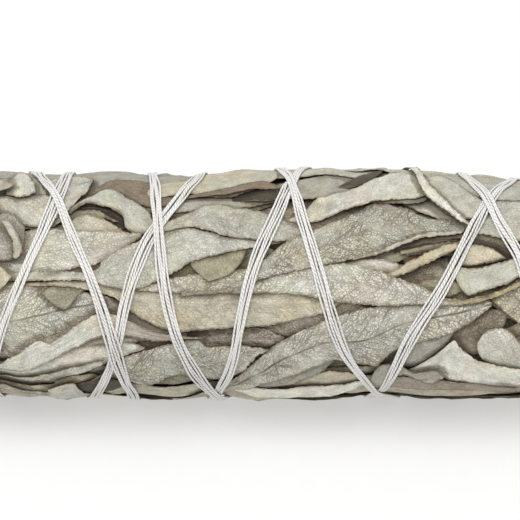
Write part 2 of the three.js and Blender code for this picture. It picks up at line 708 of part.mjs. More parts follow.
// Joins a node's solids, cuts them off at the surface that the bundle lies on, and keeps the body.
const belowSurface = solidFromTriangles(boxTriangles(400, 400, 40, -20));
function boxTriangles(sizeX, sizeY, sizeZ, centreZ) {
  const box = new THREE.BoxGeometry(sizeX, sizeY, sizeZ).toNonIndexed().translate(0, 0, centreZ);
  const corners = [];
  for (let i = 0; i < box.attributes.position.count; i += 1) {
    corners.push(new THREE.Vector3().fromBufferAttribute(box.attributes.position, i));
  }
  return corners.flatMap((p, i) => (i % 3 === 0 ? [[p, corners[i + 1], corners[i + 2]]] : []));
}

function joined(solids) {
  const whole = wasm.Manifold.union(solids).subtract(belowSurface);
  const bodies = whole.decompose().filter((body) => body.volume() > SMALLEST_SCRAP);
  return bodies.sort((p, q) => q.volume() - p.volume())[0];
}

function meshOf(name, color, roughness) {
  const { vertProperties, triVerts } = joined(pieces.get(name)).getMesh();
  const geometry = new THREE.BufferGeometry();
  geometry.setAttribute('position', new THREE.Float32BufferAttribute(vertProperties, 3));
  geometry.setIndex([...triVerts]);
  geometry.computeVertexNormals();
  const material = new THREE.MeshStandardMaterial({ color, roughness, metalness: 0 });
  const mesh = new THREE.Mesh(geometry, material);
  mesh.name = name;
  return mesh;
}

const bundle = new THREE.Group();
for (const name of pieces.keys()) {
  const sprig = Number(name.match(/^sage_sprig_(\d+)$/)?.[1] ?? 0);
  const color = sprig > 0 ? COLORS.sprigs[sprig - 1] : COLORS.looseLeaf;
  bundle.add(name === THREAD ? meshOf(name, COLORS.thread, 0.9) : meshOf(name, color, 0.85));
}

export default bundle;
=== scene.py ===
import math

import bpy
import numpy as np
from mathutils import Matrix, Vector


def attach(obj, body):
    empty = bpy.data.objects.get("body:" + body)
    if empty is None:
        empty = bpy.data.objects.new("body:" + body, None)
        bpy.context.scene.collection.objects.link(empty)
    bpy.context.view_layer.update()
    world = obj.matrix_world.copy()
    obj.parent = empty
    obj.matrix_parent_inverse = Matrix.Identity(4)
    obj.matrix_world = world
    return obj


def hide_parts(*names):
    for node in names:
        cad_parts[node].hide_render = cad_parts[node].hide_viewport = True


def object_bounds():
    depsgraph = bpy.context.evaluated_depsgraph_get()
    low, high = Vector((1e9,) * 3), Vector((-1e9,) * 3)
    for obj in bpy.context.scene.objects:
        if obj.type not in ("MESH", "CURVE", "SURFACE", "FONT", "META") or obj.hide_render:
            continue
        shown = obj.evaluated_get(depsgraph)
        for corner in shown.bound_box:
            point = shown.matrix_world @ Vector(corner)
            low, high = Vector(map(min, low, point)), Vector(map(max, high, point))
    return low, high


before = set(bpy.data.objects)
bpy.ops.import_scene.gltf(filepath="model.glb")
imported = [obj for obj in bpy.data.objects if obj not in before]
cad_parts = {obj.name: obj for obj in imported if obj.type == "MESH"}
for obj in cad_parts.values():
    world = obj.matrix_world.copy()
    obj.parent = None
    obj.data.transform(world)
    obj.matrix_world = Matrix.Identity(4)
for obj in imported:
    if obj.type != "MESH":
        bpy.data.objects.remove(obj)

cad_low, cad_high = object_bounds()


# ---- Stems and packed cores of the nine cuttings -------------------------------------------------
# White sage cuttings, eight round a ninth, cut off square at the base. Each has a four-sided woody
# stem with pale pith, and above it a core of crumpled inner leaves pressed into a wedge, coloured
# near-black: their own dark brown, deepened as painted shade for the gaps it shows through.

MM = 0.001  # lengths below are in millimetres
AXIS_Y = 0.2
AXIS_HEIGHT = 20.6
FACE_ELEVATION = 40.0
UNDERSIDE_A = 90.0 + FACE_ELEVATION
OUTER_CUTTINGS = 8
SECTOR = 360.0 / OUTER_CUTTINGS
STEM_END_X = cad_low.x / MM + 0.8
TIP_END_X = cad_high.x / MM
STEM_RADIUS = 2.1
STEM_RING_RADIUS = 7.6
CORE_X = [-100, -78, -68, -57, -42, -20, 5, 35, 52, 70, 86, 106]
CORE_RADIUS = [9.7, 10, 12.2, 13.9, 14.4, 14.2, 13.9, 13.2, 11.4, 8.2, 5.2, 3.4]
LEAF_LAYER = 5.6


def core_radius(x):
    """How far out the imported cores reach."""
    return np.interp(x, CORE_X, CORE_RADIUS)


def turn_radius(x):
    """Where an angle round the bundle is turned into a length: in the middle of the leaves."""
    return core_radius(x) + LEAF_LAYER


def to_space(x, a, r):
    """A place on the bundle as a point. x is along it, and r is the distance from its axis. a is the
    angle round it in degrees, from the line that faces out and up, and grows downwards."""
    phi = np.radians(a + 90.0 - FACE_ELEVATION)
    return np.stack([x, AXIS_Y - r * np.sin(phi), AXIS_HEIGHT + r * np.cos(phi)], axis=-1)


class Draws:
    """Seeded draws between two values, the same in each run."""

    def __init__(self, seed):
        self.state = seed

    def __call__(self, low, high):
        self.state = self.state * 16807 % 2147483647
        return low + (high - low) * self.state / 2147483647


def wander(places, period, seed):
    """A smooth, irregular value between -1 and 1 along a length."""
    start = 2.399 * seed
    t = 2 * math.pi * np.asarray(places) / period
    return (np.sin(t + start) + 0.6 * np.sin(1.73 * t + 2.1 * start)
            + 0.4 * np.sin(3.11 * t + 4.7 * start)) / 2


# The heap: how far out the bundle reaches at each cell of (x, a) as more is laid on it.
CELL_X = 0.5
CELL_A = 1.25
HEAP_START = cad_low.x / MM - 6
HEAP_COLUMNS = int((cad_high.x - cad_low.x) / MM / CELL_X) + 28
HEAP_ROWS = int(360 / CELL_A)
heap_x = HEAP_START + CELL_X * np.arange(HEAP_COLUMNS)
heap_a = CELL_A * np.arange(HEAP_ROWS)
heap = np.tile(core_radius(heap_x)[:, None], (1, HEAP_ROWS))


def sample(field, x, a):
    """A field's values at places between its cells."""
    column = np.clip((x - HEAP_START) / CELL_X, 0, HEAP_COLUMNS - 1.001)
    row = np.mod(a, 360.0) / CELL_A
    c, r = column.astype(int), row.astype(int)
    f, g = column - c, row - r
    near, far = r % HEAP_ROWS, (r + 1) % HEAP_ROWS
    return ((1 - f) * ((1 - g) * field[c, near] + g * field[c, far])
            + f * ((1 - g) * field[c + 1, near] + g * field[c + 1, far]))


def highest_near(field, columns=1, rows=1):
    """Each cell's highest value among the cells round it."""
    tallest = field
    for _ in range(columns):
        padded = np.pad(tallest, ((1, 1), (0, 0)), mode="edge")
        tallest = np.maximum(tallest, np.maximum(padded[:-2], padded[2:]))
    for _ in range(rows):
        tallest = np.maximum(tallest, np.maximum(np.roll(tallest, 1, 1), np.roll(tallest, -1, 1)))
    return tallest


def halfway(grid):
    """The grid with the points between its own added."""
    for axis in (0, 1):
        grid = np.moveaxis(grid, axis, 0)
        finer = np.empty((2 * len(grid) - 1,) + grid.shape[1:])
        finer[::2] = grid
        finer[1::2] = (grid[:-1] + grid[1:]) / 2
        grid = np.moveaxis(finer, 0, axis)
    return grid


def raise_heap(field, x, a, r):
    """Raises the cells at these places to at least r."""
    column = np.clip(np.rint((x - HEAP_START) / CELL_X).astype(int), 0, HEAP_COLUMNS - 1)
    row = np.rint(np.mod(a, 360.0) / CELL_A).astype(int) % HEAP_ROWS
    np.maximum.at(field, (column, row), r)


def tube_faces(rings, around):
    """Faces of a tube through rings of points, closed at both ends by its first and last ring."""
    i, j = np.meshgrid(np.arange(rings - 1), np.arange(around), indexing="ij")
    k = (j + 1) % around
    return np.stack([i * around + j, i * around + k, (i + 1) * around + k, (i + 1) * around + j],
                    axis=-1).reshape(-1, 4)


CORE_STATIONS = np.arange(-76.0, 87.0, 1.6)
CORE_ARC_POINTS = 13
MIDDLE_RADIUS = 5.4
SECTOR_GAP = 0.42
PITH_SHARE = 0.62
STEM_TOP_X = -83.0
STEM_RINGS = 12
CUT_RINGS = [(0.02, 0.45), (0.3, 0.4), (PITH_SHARE, 0.3), (0.7, 0.05), (0.9, 0.0), (1.0, 0.18)]


def stem_outline(turns):
    """A four-sided stem's radius in each direction."""
    return STEM_RADIUS * (1 + 0.1 * np.cos(np.radians(4 * turns)) - 0.04 * np.cos(np.radians(8 * turns)))


def cutting_core(index):
    """Rings of one outer cutting, from the pith of its cut end to the tip of its packed core."""
    middle_a = index * SECTOR
    side = np.linspace(-1, 1, CORE_ARC_POINTS)
    turns = np.concatenate([70 * side, [100, 128], np.linspace(150, 210, 4), [232, 260]])
    out = np.concatenate([np.ones(CORE_ARC_POINTS), [0.66, 0.33], np.zeros(4), [0.33, 0.66]])
    sides = np.concatenate([side, [1, 1], [0.9, 0.3, -0.3, -0.9], [-1, -1]])
    centre = to_space(0.0, middle_a, STEM_RING_RADIUS)
    direction = np.radians(middle_a + 90.0 - FACE_ELEVATION + turns)
    end = STEM_END_X + stem_end_draws(-0.2, 3.2)
    slant = 0.25 * np.cos(np.radians(turns + 57 * index))
    rings, pith = [], []
    stations = [(end, share, depth) for share, depth in CUT_RINGS]
    stations += [(x, 1.0 + 0.03 * wander(x, 5, index), 0.0)
                 for x in np.linspace(end + 0.6, STEM_TOP_X, STEM_RINGS)]
    for x, share, depth in stations:
        radius = stem_outline(turns) * share
        at_end = 1.0 if x == end else 0.0
        rings.append(np.stack([x + at_end * (depth + slant * share) + 0 * radius,
                               centre[1] - radius * np.sin(direction),
                               centre[2] + radius * np.cos(direction)], axis=-1))
        pith.append(np.full(len(turns), 1.0 if at_end and share <= PITH_SHARE else 0.0))
    for x in CORE_STATIONS:
        outer = core_radius(x) - 0.15
        inner = min(MIDDLE_RADIUS + 0.9, outer * 0.62)
        r = inner + (outer - inner) * out
        half = SECTOR / 2 - math.degrees(SECTOR_GAP / 2 / outer)
        a = middle_a + sides * half
        crumple = 0.5 * wander(x + 3 * sides, 4.2, index + 1) * np.sin(2.7 * sides + x / 2.3)
        rings.append(to_space(x + 0 * a, a, r + np.where(out > 0.5, crumple - 0.4, 0.0)))
        pith.append(np.zeros(len(turns)))
    return np.array(rings), np.array(pith)


def middle_core():
    """Rings of the middle cutting: a round stem and core that end inside the tip."""
    turns = np.arange(0, 360, 15.0)
    stations = [(STEM_END_X + 1, s, d) for s, d in CUT_RINGS]
    stations += [(x, 1.0, 0.0) for x in np.linspace(STEM_END_X + 1.6, -82, 10)]
    widths = np.interp(CORE_STATIONS, [-76, -50, 42, 58, 70, 86], [3.6, 5.2, 5.2, 4.0, 3.2, 2.2])
    rings, pith = [], []
    for x, share, depth in stations:
        r = stem_outline(turns) * share
        rings.append(to_space(x + depth + 0 * r, turns, r))
        pith.append(np.full(len(turns), 1.0 if depth > 0.2 else 0.0))
    for x, width in zip(CORE_STATIONS, widths):
        rings.append(to_space(x + 0 * turns, turns, width * (1 + 0.05 * wander(turns + 9 * x, 60, 3))))
        pith.append(np.zeros(len(turns)))
    return np.array(rings), np.array(pith)


stem_end_draws = Draws(1)
cores = [cutting_core(index) for index in range(OUTER_CUTTINGS)] + [middle_core()]


# ---- Leaves --------------------------------------------------------------------------------------
# Dried sage leaves: blades mostly 35 to 60 mm long and 0.3 mm thick, pressed over one another while
# they were soft, so each follows what lies below it, and its margins curled as it dried. They are
# laid from the lowest to the uppermost. A rooted blade starts just inside its cutting.

BLADE_THICKNESS = 0.3
RIM_THICKNESS = 0.14
RIM_WIDTH = 0.9
CURL_WIDTH = 1.1
FRAY_DEPTH = 0.09
FRAY_LENGTH = 1.15
CLEARANCE = 0.1
ROOT_SINK = 0.6
ROOT_ZONE = 4.0
FACE_RADIUS = 20.5
# The near-black tint is painted shade: strips of it stand for shadowed slits between leaves.
TINTS = {
    "pale": (0.72, 0.71, 0.64), "white": (0.60, 0.59, 0.52), "silver": (0.50, 0.49, 0.42),
    "grey": (0.39, 0.375, 0.325), "beige": (0.53, 0.495, 0.395), "yellow": (0.53, 0.49, 0.375),
    "olive": (0.36, 0.34, 0.245), "green": (0.33, 0.325, 0.25), "pink": (0.40, 0.355, 0.295),
    "umber": (0.32, 0.28, 0.22), "brown": (0.25, 0.20, 0.145), "slit_shade": (0.08, 0.066, 0.048),
}
blades = []


def smooth_row(points, count):
    """Evenly spaced points on a smooth curve through a row of places, and the curve's length."""
    p = np.array(points, float)
    p = np.vstack([2 * p[0] - p[1], p, 2 * p[-1] - p[-2]])
    t = np.linspace(0, 1, 12, endpoint=False)[:, None]
    pieces = []
    for k in range(1, len(p) - 2):
        p0, p1, p2, p3 = p[k - 1:k + 3]
        pieces.append(p1 + (p2 - p0) * t / 2 + (2 * p0 - 5 * p1 + 4 * p2 - p3) * t ** 2 / 2
                      + (3 * p1 - p0 - 3 * p2 + p3) * t ** 3 / 2)
    curve = np.vstack(pieces + [p[-2:-1]])
    run = np.concatenate([[0], np.cumsum(np.hypot(*np.diff(curve, axis=0).T))])
    even = np.linspace(0, run[-1], count)
    return np.stack([np.interp(even, run, curve[:, 0]), np.interp(even, run, curve[:, 1])], -1), run[-1]


def drape(floor, stiff):
    """The level of a sheet laid on a floor: it rests on what stands out and spans what lies lower."""
    level = floor.copy()
    for _ in range(stiff):
        padded = np.pad(level, 1, mode="edge")
        around = (padded[:-2, 1:-1] + padded[2:, 1:-1] + padded[1:-1, :-2] + padded[1:-1, 2:]) / 4
        level = np.maximum(floor, around)
    return level


def lay_blade(upper, lower, tint, cutting=None, loose=None, spacing=0.5, seed=1, net=0.5, rim=0.3,
              rib=0.4, lines=0.0, blush=0.0, specks=0.0, puff=0.0, fold=0.0, wave=0.12, rag=0.0,
              curl=(0.2, 0.2), stalk=0.0, stiff=60, arc_radius=FACE_RADIUS):
    """Lays a blade, given by its two edges from root to tip as (x, arc), on the heap. net, rim, rib,
    lines, blush, specks and stalk mark it, and puff, fold, wave, rag, curl and stiff shape it."""
    draw = Draws(seed * 7919 + 13)
    length = smooth_row(upper, 8)[1]
    rows = max(8, int(length / spacing))
    upper_edge, lower_edge = smooth_row(upper, rows)[0], smooth_row(lower, rows)[0]
    width = np.maximum(np.hypot(*(lower_edge - upper_edge).T), 0.15)
    columns = max(5, int(np.percentile(width, 80) / spacing) | 1)
    run = np.linspace(0, length, rows)
    side = (lower_edge - upper_edge) / width[:, None]
    fray = FRAY_DEPTH * np.sin(2 * math.pi * run / FRAY_LENGTH + seed) + 0.12 * wander(run, 3.7, seed)
    torn = rag * (0.5 + 0.9 * np.abs(wander(run, 2.6, seed + 5)) + 0.5 * wander(run, 9, seed))
    fade = np.clip(run / 6, 0, 1)[:, None]
    upper_edge = upper_edge - side * (fray + 0.12 * wander(run, 6.1, seed + 2))[:, None] * fade
    lower_edge = lower_edge + side * (fray - torn)[:, None] * fade
    v = np.linspace(0, 1, columns)
    flat = upper_edge[:, None] * (1 - v)[None, :, None] + lower_edge[:, None] * v[None, :, None]
    x = flat[..., 0]
    a = np.degrees(flat[..., 1] / (arc_radius if np.isscalar(arc_radius) else arc_radius(x)))
    across = (v - 0.5)[None, :] * width[:, None]
    to_end = np.minimum(run, length - run)[:, None] + 0.1
    rim_distance = np.minimum(width[:, None] / 2 - np.abs(across), to_end)

    level = drape(sample(highest_near(heap), x, a) + CLEARANCE, stiff)
    u = (run / length)[:, None]
    from_upper, from_lower = v[None, :] * width[:, None], (1 - v)[None, :] * width[:, None]
    lift = curl[0] * (0.6 + 0.5 * wander(run, 17, seed + 1))[:, None] * np.exp(-from_upper / CURL_WIDTH)
    lower_curl = curl[1] * (0.6 + 0.5 * wander(run, 14, seed + 3))[:, None]
    lift = lift + lower_curl * np.exp(-from_lower / CURL_WIDTH)
    lift = lift + puff * np.sin(math.pi * v)[None, :] * np.clip(4 * u, 0, 1) * np.clip(8 * (1 - u), 0, 1)
    crease = np.abs(2 * v - 1)[None, :]
    lift = lift + (fold * crease if fold >= 0 else -fold * (1 - crease)) * np.clip(5 * u, 0, 1)
    ripple = 0.5 + 0.5 * wander(run[:, None] + 2.0 * across, 6.5, seed + 7)
    lift = lift + wave * ripple * (0.4 + 1.2 * crease ** 2) + 0.1 * ripple[:, ::-1]
    level = level + np.maximum(lift, 0) * np.clip(run / 5, 0.1, 1)[:, None]
    if loose is None:
        level = level - ROOT_SINK * np.clip(1 - run / ROOT_ZONE, 0, 1)[:, None]
    fullness = np.clip(rim_distance / RIM_WIDTH, 0, 1)
    thickness = RIM_THICKNESS + (BLADE_THICKNESS - RIM_THICKNESS) * fullness
    raise_heap(heap, halfway(x), halfway(a), halfway(level + thickness))
    if cutting is None:
        cutting = int(round(float(np.mean(a[0])) / SECTOR)) % OUTER_CUTTINGS
    shade = 1 + 0.07 * (draw(0, 2) - 1)
    blades.append({
        "cutting": cutting, "loose": loose, "x": x, "a": a, "inner": level, "outer": level + thickness,
        "blade": np.stack([run[:, None] + 0 * across, across, rim_distance], -1),
        "traits": (net, rim, seed * 1.0), "marks": (lines, blush, specks), "form": (rib, stalk),
        "tint": tuple(shade * c for c in TINTS[tint]) + (1.0,), "length": length,
    })


BLADE_SHARES = [0, 0.1, 0.22, 0.4, 0.58, 0.75, 0.88, 0.96, 1]
BLADE_WIDTHS = [0.16, 0.22, 0.52, 0.88, 1, 0.86, 0.54, 0.24, 0.03]


def blade_edges(path, width, arc_radius):
    """The two edges of a blade, from its root, middle and tip (x, a) and its greatest width."""
    u = np.array(BLADE_SHARES)[:, None]
    root, middle, tip = np.array(path, float)
    centre = (1 - u) * (1 - 2 * u) * root + 4 * u * (1 - u) * middle + u * (2 * u - 1) * tip
    centre[:, 1] = np.radians(centre[:, 1]) * arc_radius(centre[:, 0])
    forward = np.gradient(centre, axis=0)
    forward /= np.hypot(*forward.T)[:, None]
    half = width / 2 * np.array(BLADE_WIDTHS)[:, None]
    across = np.stack([-forward[:, 1], forward[:, 0]], -1)
    return centre - across * half, centre + across * half


def grow_blade(path, width, tint, arc_radius=turn_radius, **form):
    upper, lower = blade_edges(path, width, arc_radius)
    lay_blade(upper, lower, tint, arc_radius=arc_radius, **form)


# Inner leaves, browned and crushed, that show dark between the outer ones.
INNER_TINTS = ["brown", "pink", "olive", "green"]
inner_draw = Draws(2311)
for x in np.arange(58.0, -72.0, -13.0):
    for index in range(OUTER_CUTTINGS):
        root_x, root_a = x + inner_draw(-5, 5), index * SECTOR + inner_draw(-14, 14)
        tip_x = min(root_x + inner_draw(36, 46), 96.0)
        grow_blade([(root_x, root_a), ((root_x + tip_x) / 2, root_a + inner_draw(-6, 6)),
                    (tip_x, root_a + inner_draw(-14, 14))], inner_draw(9, 12),
                   INNER_TINTS[int(inner_draw(0, 3.99))], spacing=1.2, seed=int(inner_draw(1, 900)),
                   net=0.8, wave=0.35, curl=(0.4, 0.4), stiff=24)

# Leaves that grow all round, laid from the tip backwards like roof tiles, but not on the face.
LOW_FACE_LEAVES = [
    ([(80, 8), (56, 8), (41, 7)], 10), ([(74, 16), (55, 26), (38.5, 36)], 8),
    ([(40, -74), (20, -66), (2, -62)], 9), ([(24, -92), (6, -88), (-9.7, -84)], 5),
]
LEAF_SPACING = 20.0
FIRST_ROOT_X = 66.0
GROWN_SEEDS = 40
LAST_ROOT_X = -64.0
FACE_END_X = 45.0
OUTER_TINTS = ["beige", "grey", "silver", "pink", "beige", "green", "silver", "yellow", "grey", "olive"]

growing = list(LOW_FACE_LEAVES)
leaf_draw = Draws(4127)
for index in range(OUTER_CUTTINGS):
    cutting_a = (index - OUTER_CUTTINGS if index > OUTER_CUTTINGS / 2 else index) * SECTOR
    turn = 1
    x = FIRST_ROOT_X - leaf_draw(0, 8)
    while x > LAST_ROOT_X:
        turn = -turn
        on_face = abs(cutting_a) < 100 and x < FACE_END_X
        beside_face = abs(cutting_a) == 90 and on_face
        away = math.copysign(1, cutting_a) if beside_face else turn
        root_a = cutting_a + away * (leaf_draw(10, 14) if beside_face else leaf_draw(3, 9))
        tip_x = min(x + leaf_draw(44, 58), leaf_draw(84, 97))
        tip_a = root_a + away * leaf_draw(2, 14)
        middle = ((x + tip_x) / 2, (root_a + tip_a) / 2 + leaf_draw(-4, 4))
        width = leaf_draw(10, 13.5)
        if not on_face or beside_face:
            growing.append(([(x, root_a), middle, (tip_x, tip_a)], width))
        x -= LEAF_SPACING * leaf_draw(0.85, 1.15)
growing.sort(key=lambda leaf: -leaf[0][0][0])
look_draw = Draws(5501)
for number, (path, width) in enumerate(growing):
    grow_blade(path, width, OUTER_TINTS[int(look_draw(0, 9.99))], spacing=0.8,
               seed=number + GROWN_SEEDS, net=look_draw(0.2, 1), rim=look_draw(0.1, 0.9),
               rib=look_draw(0.2, 1), wave=look_draw(0.1, 0.35),
               curl=(look_draw(0.05, 0.6), look_draw(0.05, 0.6)), rag=max(0.0, look_draw(-0.8, 0.6)),
               puff=max(0.0, look_draw(-0.8, 0.7)), fold=look_draw(-0.4, 0.5),
               blush=max(0.0, look_draw(-0.6, 0.8)))


# ---- Leaves on the face --------------------------------------------------------------------------
# The leaves that show between the windings, from the lowest to the uppermost, each as its upper and
# its lower edge from root to tip in (x, drop). Drop is how far below the axis a place is seen from in
# front of the face. Most grow from the cuttings; six are loose, held by the thread alone. Narrow
# near-black strips among them are painted shade in the slits between leaves.

# Up to a share of the bundle's radius, a drop gives the angle round it. Past that, each millimetre is
# so many degrees more. The bundle's upper side stands out a little at some places along it.
SEEN_RADIUS = 20.6
TURNING_SHARE = 0.976
TURNING_RATE = 12.6
UPPER_X = [-60, -50, -38, -20, -10, 0, 8, 12, 17, 22, 32, 45, 60]
UPPER_RISE = [0.5, 1.3, 1.2, 0.4, 0.6, 1.0, 1.9, 1.9, 1.1, 1.6, 0.9, 0.0, 0.0]


def seen_to_arc(places):
    """(x, drop) places as (x, arc round the bundle)."""
    places = np.array(places, float)
    rise = 0.7 * np.interp(places[:, 0], UPPER_X, UPPER_RISE) * np.clip(-places[:, 1] / 8 - 0.7, 0, 1)
    radius = SEEN_RADIUS + rise
    share = np.abs(places[:, 1]) / radius
    straight = np.degrees(np.arcsin(np.minimum(share, TURNING_SHARE)))
    a = straight + np.maximum(share - TURNING_SHARE, 0) * radius * TURNING_RATE
    return np.stack([places[:, 0], np.radians(np.sign(places[:, 1]) * a) * FACE_RADIUS], -1)


FACE_SEEDS = 300
FACE_CURLS = [(0.1, 0.3), (0.3, 0.1), (0.2, 0.2)]
face_count = 0


def face_blade(tint, upper, lower, **form):
    global face_count
    face_count += 1
    form.setdefault("curl", FACE_CURLS[face_count % 3])
    lay_blade(seen_to_arc(upper), seen_to_arc(lower), tint, seed=face_count + FACE_SEEDS, **form)


# The right end.
# Near-black strip: painted shade in a gap between leaves.
face_blade("slit_shade", [(33.5, -9.8), (38, -10), (42, -8.8), (46, -7)],
           [(33.5, -4), (38, -4.2), (42, -4.6), (46, -5.4)], net=0.2)
grow_blade([(20, -55), (44, -44), (68, -35)], 10.5, "silver", net=0.3, seed=201, spacing=0.6)
grow_blade([(22, 42), (34, 30), (44, 13)], 8, "umber", net=0.9, seed=202, spacing=0.6)
face_blade("beige", [(79.9, 0.5), (65, -0.9), (54, -1.3), (46.8, -0.5), (43.2, 0.9), (41.2, 2.3)],
           [(79.9, 5.9), (65, 7.7), (54, 8.8), (48.6, 8.3), (45, 5.9), (42.7, 3.8), (41.2, 2.6)],
           net=1, rim=1)
face_blade("grey", [(74, 5.5), (60, 6.5), (50, 8), (45, 10)],
           [(74, 15), (60, 16), (50, 15.6), (45, 13)], net=0.6)
face_blade("white", [(60, 14.9), (52, 14.2), (47.7, 12.6), (46.2, 10.2), (44.8, 8.5), (43, 7.7),
                     (41, 7.9), (39.6, 8.9), (38.7, 10.4)],
           [(60, 17.8), (52, 17.2), (47.7, 16.2), (45.6, 15.9), (43.5, 15.5), (41.6, 14.9), (40, 13.8),
            (39, 12.4), (38.6, 10.9)], net=0.5, puff=0.5)
face_blade("beige", [(35.6, -7.7), (37.1, -8.6), (40.5, -7.9), (43.7, -5.9)],
           [(35.6, -4.5), (37.1, -4.3), (41, -4.7), (43.7, -5.4)], net=0.2, puff=1.5)
# Right of the middle: a hollow with narrow folded leaves in it.
face_blade("olive", [(25.2, 0.5), (27.4, -0.5), (30.2, -1.4), (33.3, -1.4), (36.7, -0.4)],
           [(25.2, 1.3), (27.4, 0.9), (30.2, 1.6), (33.8, 1.8), (36.7, 0.4)], net=0.4)
face_blade("grey", [(1, -19.6), (8, -20.2), (12.6, -20.4), (21.6, -21), (27.9, -21), (31, -19.6)],
           [(1, -17), (8, -16.8), (12.6, -16.4), (21.6, -15.7), (28.4, -16), (31, -18)],
           net=0.2, fold=0.8)
face_blade("pink", [(12, -5.6), (20, -7.4), (25.2, -8.8), (30.6, -10.1), (36.4, -10.6)],
           [(12, -3.4), (20, -4.6), (25.2, -7.2), (30.6, -9), (36.4, -9.9)], net=0.5)
face_blade("green", [(19, -5), (23, -6.2), (27, -7.6), (31, -8.6), (36, -9.2)],
           [(19, -3.6), (23, -4.4), (27, -5.6), (31, -7.2), (36, -8.6)], net=0.4)
face_blade("brown", [(25.6, -5.6), (28.4, -6.9), (31.2, -7.4), (34, -7.5)],
           [(25.6, -4.6), (28.4, -5.4), (31.2, -6.2), (34, -7.1)], net=0.4)
# Near-black strip: painted shade in a gap between leaves.
face_blade("slit_shade", [(24, -7.3), (28, -8.3), (31, -8.9), (35, -9.2)],
           [(24, -6.7), (28, -7.2), (31, -7.9), (35, -8.6)], net=0.2)
face_blade("olive", [(25, -6.9), (28, -7.4), (31, -8.1), (34.6, -8.7)],
           [(25, -6.2), (28, -6.5), (31, -7), (34.6, -8)], net=0.2)
# Near-black strip: painted shade in a gap between leaves.
face_blade("slit_shade", [(26, -6.3), (29, -6.9), (32.5, -7.2)],
           [(26, -5.9), (29, -6.1), (32.5, -6.6)], net=0.2)
face_blade("white", [(12.6, -3.8), (18.5, -5.2), (22.5, -5), (27.2, -3.6)],
           [(12.6, -1.3), (18.5, -2.6), (22.5, -2.4), (27.2, -2.9)], net=0.2)
face_blade("yellow", [(20.2, -0.9), (22.3, -2.3), (26.1, -4.5), (30.6, -6.7), (35.1, -8.5)],
           [(20.2, 0.2), (22.7, -1.1), (26.6, -2.9), (31.1, -5), (35.6, -7.4)], net=0.2, puff=0.4)
# The lower edge, at the middle and right of it, with one leaf of the upper side.
face_blade("grey", [(-4, 15.3), (7.2, 15.7), (22.5, 14.9), (25.6, 11.7), (28.8, 9.7), (32.4, 8.5),
                    (34.6, 8.1)],
           [(-4, 18.2), (7.2, 18.9), (23, 16), (27, 15.3), (29.9, 13.5), (32.6, 11.5), (34.6, 8.5)],
           net=0.4, fold=-0.6)
face_blade("beige", [(-5.4, 19.3), (7.2, 19.3), (22.7, 18.4), (30.6, 17.5), (39.6, 17.8), (46.3, 18.7)],
           [(-5.4, 20.7), (7.2, 20.9), (22.7, 20.9), (30.6, 20.7), (39.6, 20.3), (46.3, 19.1)], net=0.5)
grow_blade([(-10, -88), (8, -82), (22, -75)], 8.5, "silver", net=0.3, seed=203, spacing=0.6)
face_blade("beige", [(-37.8, 18.9), (-19.8, 19.1), (-8.1, 18.9), (0.4, 18.4), (7.2, 16.7), (12.6, 15.7),
                     (16.6, 16.4), (19.4, 17.3)],
           [(-37.8, 20.5), (-19.8, 20.7), (-8.1, 20.7), (0.4, 20.7), (7.2, 20.5), (12.6, 20),
            (16.6, 18.4), (19.4, 17.5)], net=0.3, wave=0.3)
face_blade("pink", [(-25.2, 13.1), (-19.8, 10.4), (-13.5, 8.5), (-7.2, 7.7), (0.4, 7.8), (4.4, 9.4)],
           [(-25.2, 14.2), (-19.8, 13.1), (-13.5, 12.4), (-7.2, 12.1), (0.4, 11.5), (4.4, 10)], net=0.9)
face_blade("grey", [(-5, 19), (-1.3, 18), (2.9, 16), (7.2, 14.4), (10.8, 12.8), (14.8, 11.3)],
           [(-5, 19.2), (-1.3, 18.9), (2.7, 18.5), (7.2, 17.2), (10.8, 15.7), (14.8, 13)],
           net=0.6, puff=0.8)
# Near-black strip: painted shade in a gap between leaves.
face_blade("slit_shade", [(-18, 9.5), (-12, 8.2), (-6, 7.9), (0, 7.6)],
           [(-18, 9.7), (-12, 9.3), (-6, 8.7), (0, 8.3)], net=0.2)
face_blade("pale", [(-6.1, 18.2), (7.2, 18.2), (19.8, 17.6), (25.2, 16.2), (28.8, 14), (31.9, 11.9),
                    (34.4, 9.7), (35.6, 11.2), (37.4, 12.6), (40.3, 13.9), (46.8, 15.3), (58, 16.7)],
           [(-6.1, 20), (7.2, 20.3), (19.8, 18.9), (23.4, 18.7), (26.3, 16.6), (29, 17.9), (32, 16.9),
            (34.6, 17.3), (37.1, 17.6), (40.1, 18.3), (46.8, 18.9), (58, 18.4)], net=0.2, wave=0.35)
face_blade("pink", [(19, 16.8), (26, 17), (32, 17.2), (38, 17.6), (46, 18.6)],
           [(19, 18.9), (26, 18.9), (32, 18.8), (38, 18.8), (46, 19)], net=0.4)
face_blade("silver", [(19.4, 18), (20.6, 15.4), (22.6, 14.4), (25.2, 14.8), (27.4, 15.7), (30, 15.1),
                      (32.8, 15.9)],
           [(19.8, 18.9), (22, 18.7), (23.3, 17), (25.4, 16.2), (27.5, 16.7), (29.8, 17.3), (31.8, 16.8),
            (32.8, 16.3)], net=0.3, wave=0.7, rim=0.8, spacing=0.35)
face_blade("white", [(-15.8, 21), (-9.9, 20), (-5.8, 18.2), (-1.8, 14.8), (1.8, 11.5), (4.5, 9.5),
                     (11.3, 6.3), (18, 4.1), (25.2, 2.7), (32.4, 2), (41.2, 2.7)],
           [(-15.8, 21.6), (-9.9, 21.2), (-5.8, 19.8), (-3.6, 18.9), (2.3, 16.9), (8.6, 14.9),
            (13.1, 13.5), (16.6, 14.6), (21, 14.4), (25.2, 11.5), (32.4, 9), (37.1, 6.7), (41.2, 3.4)],
           net=0.9, rib=1)
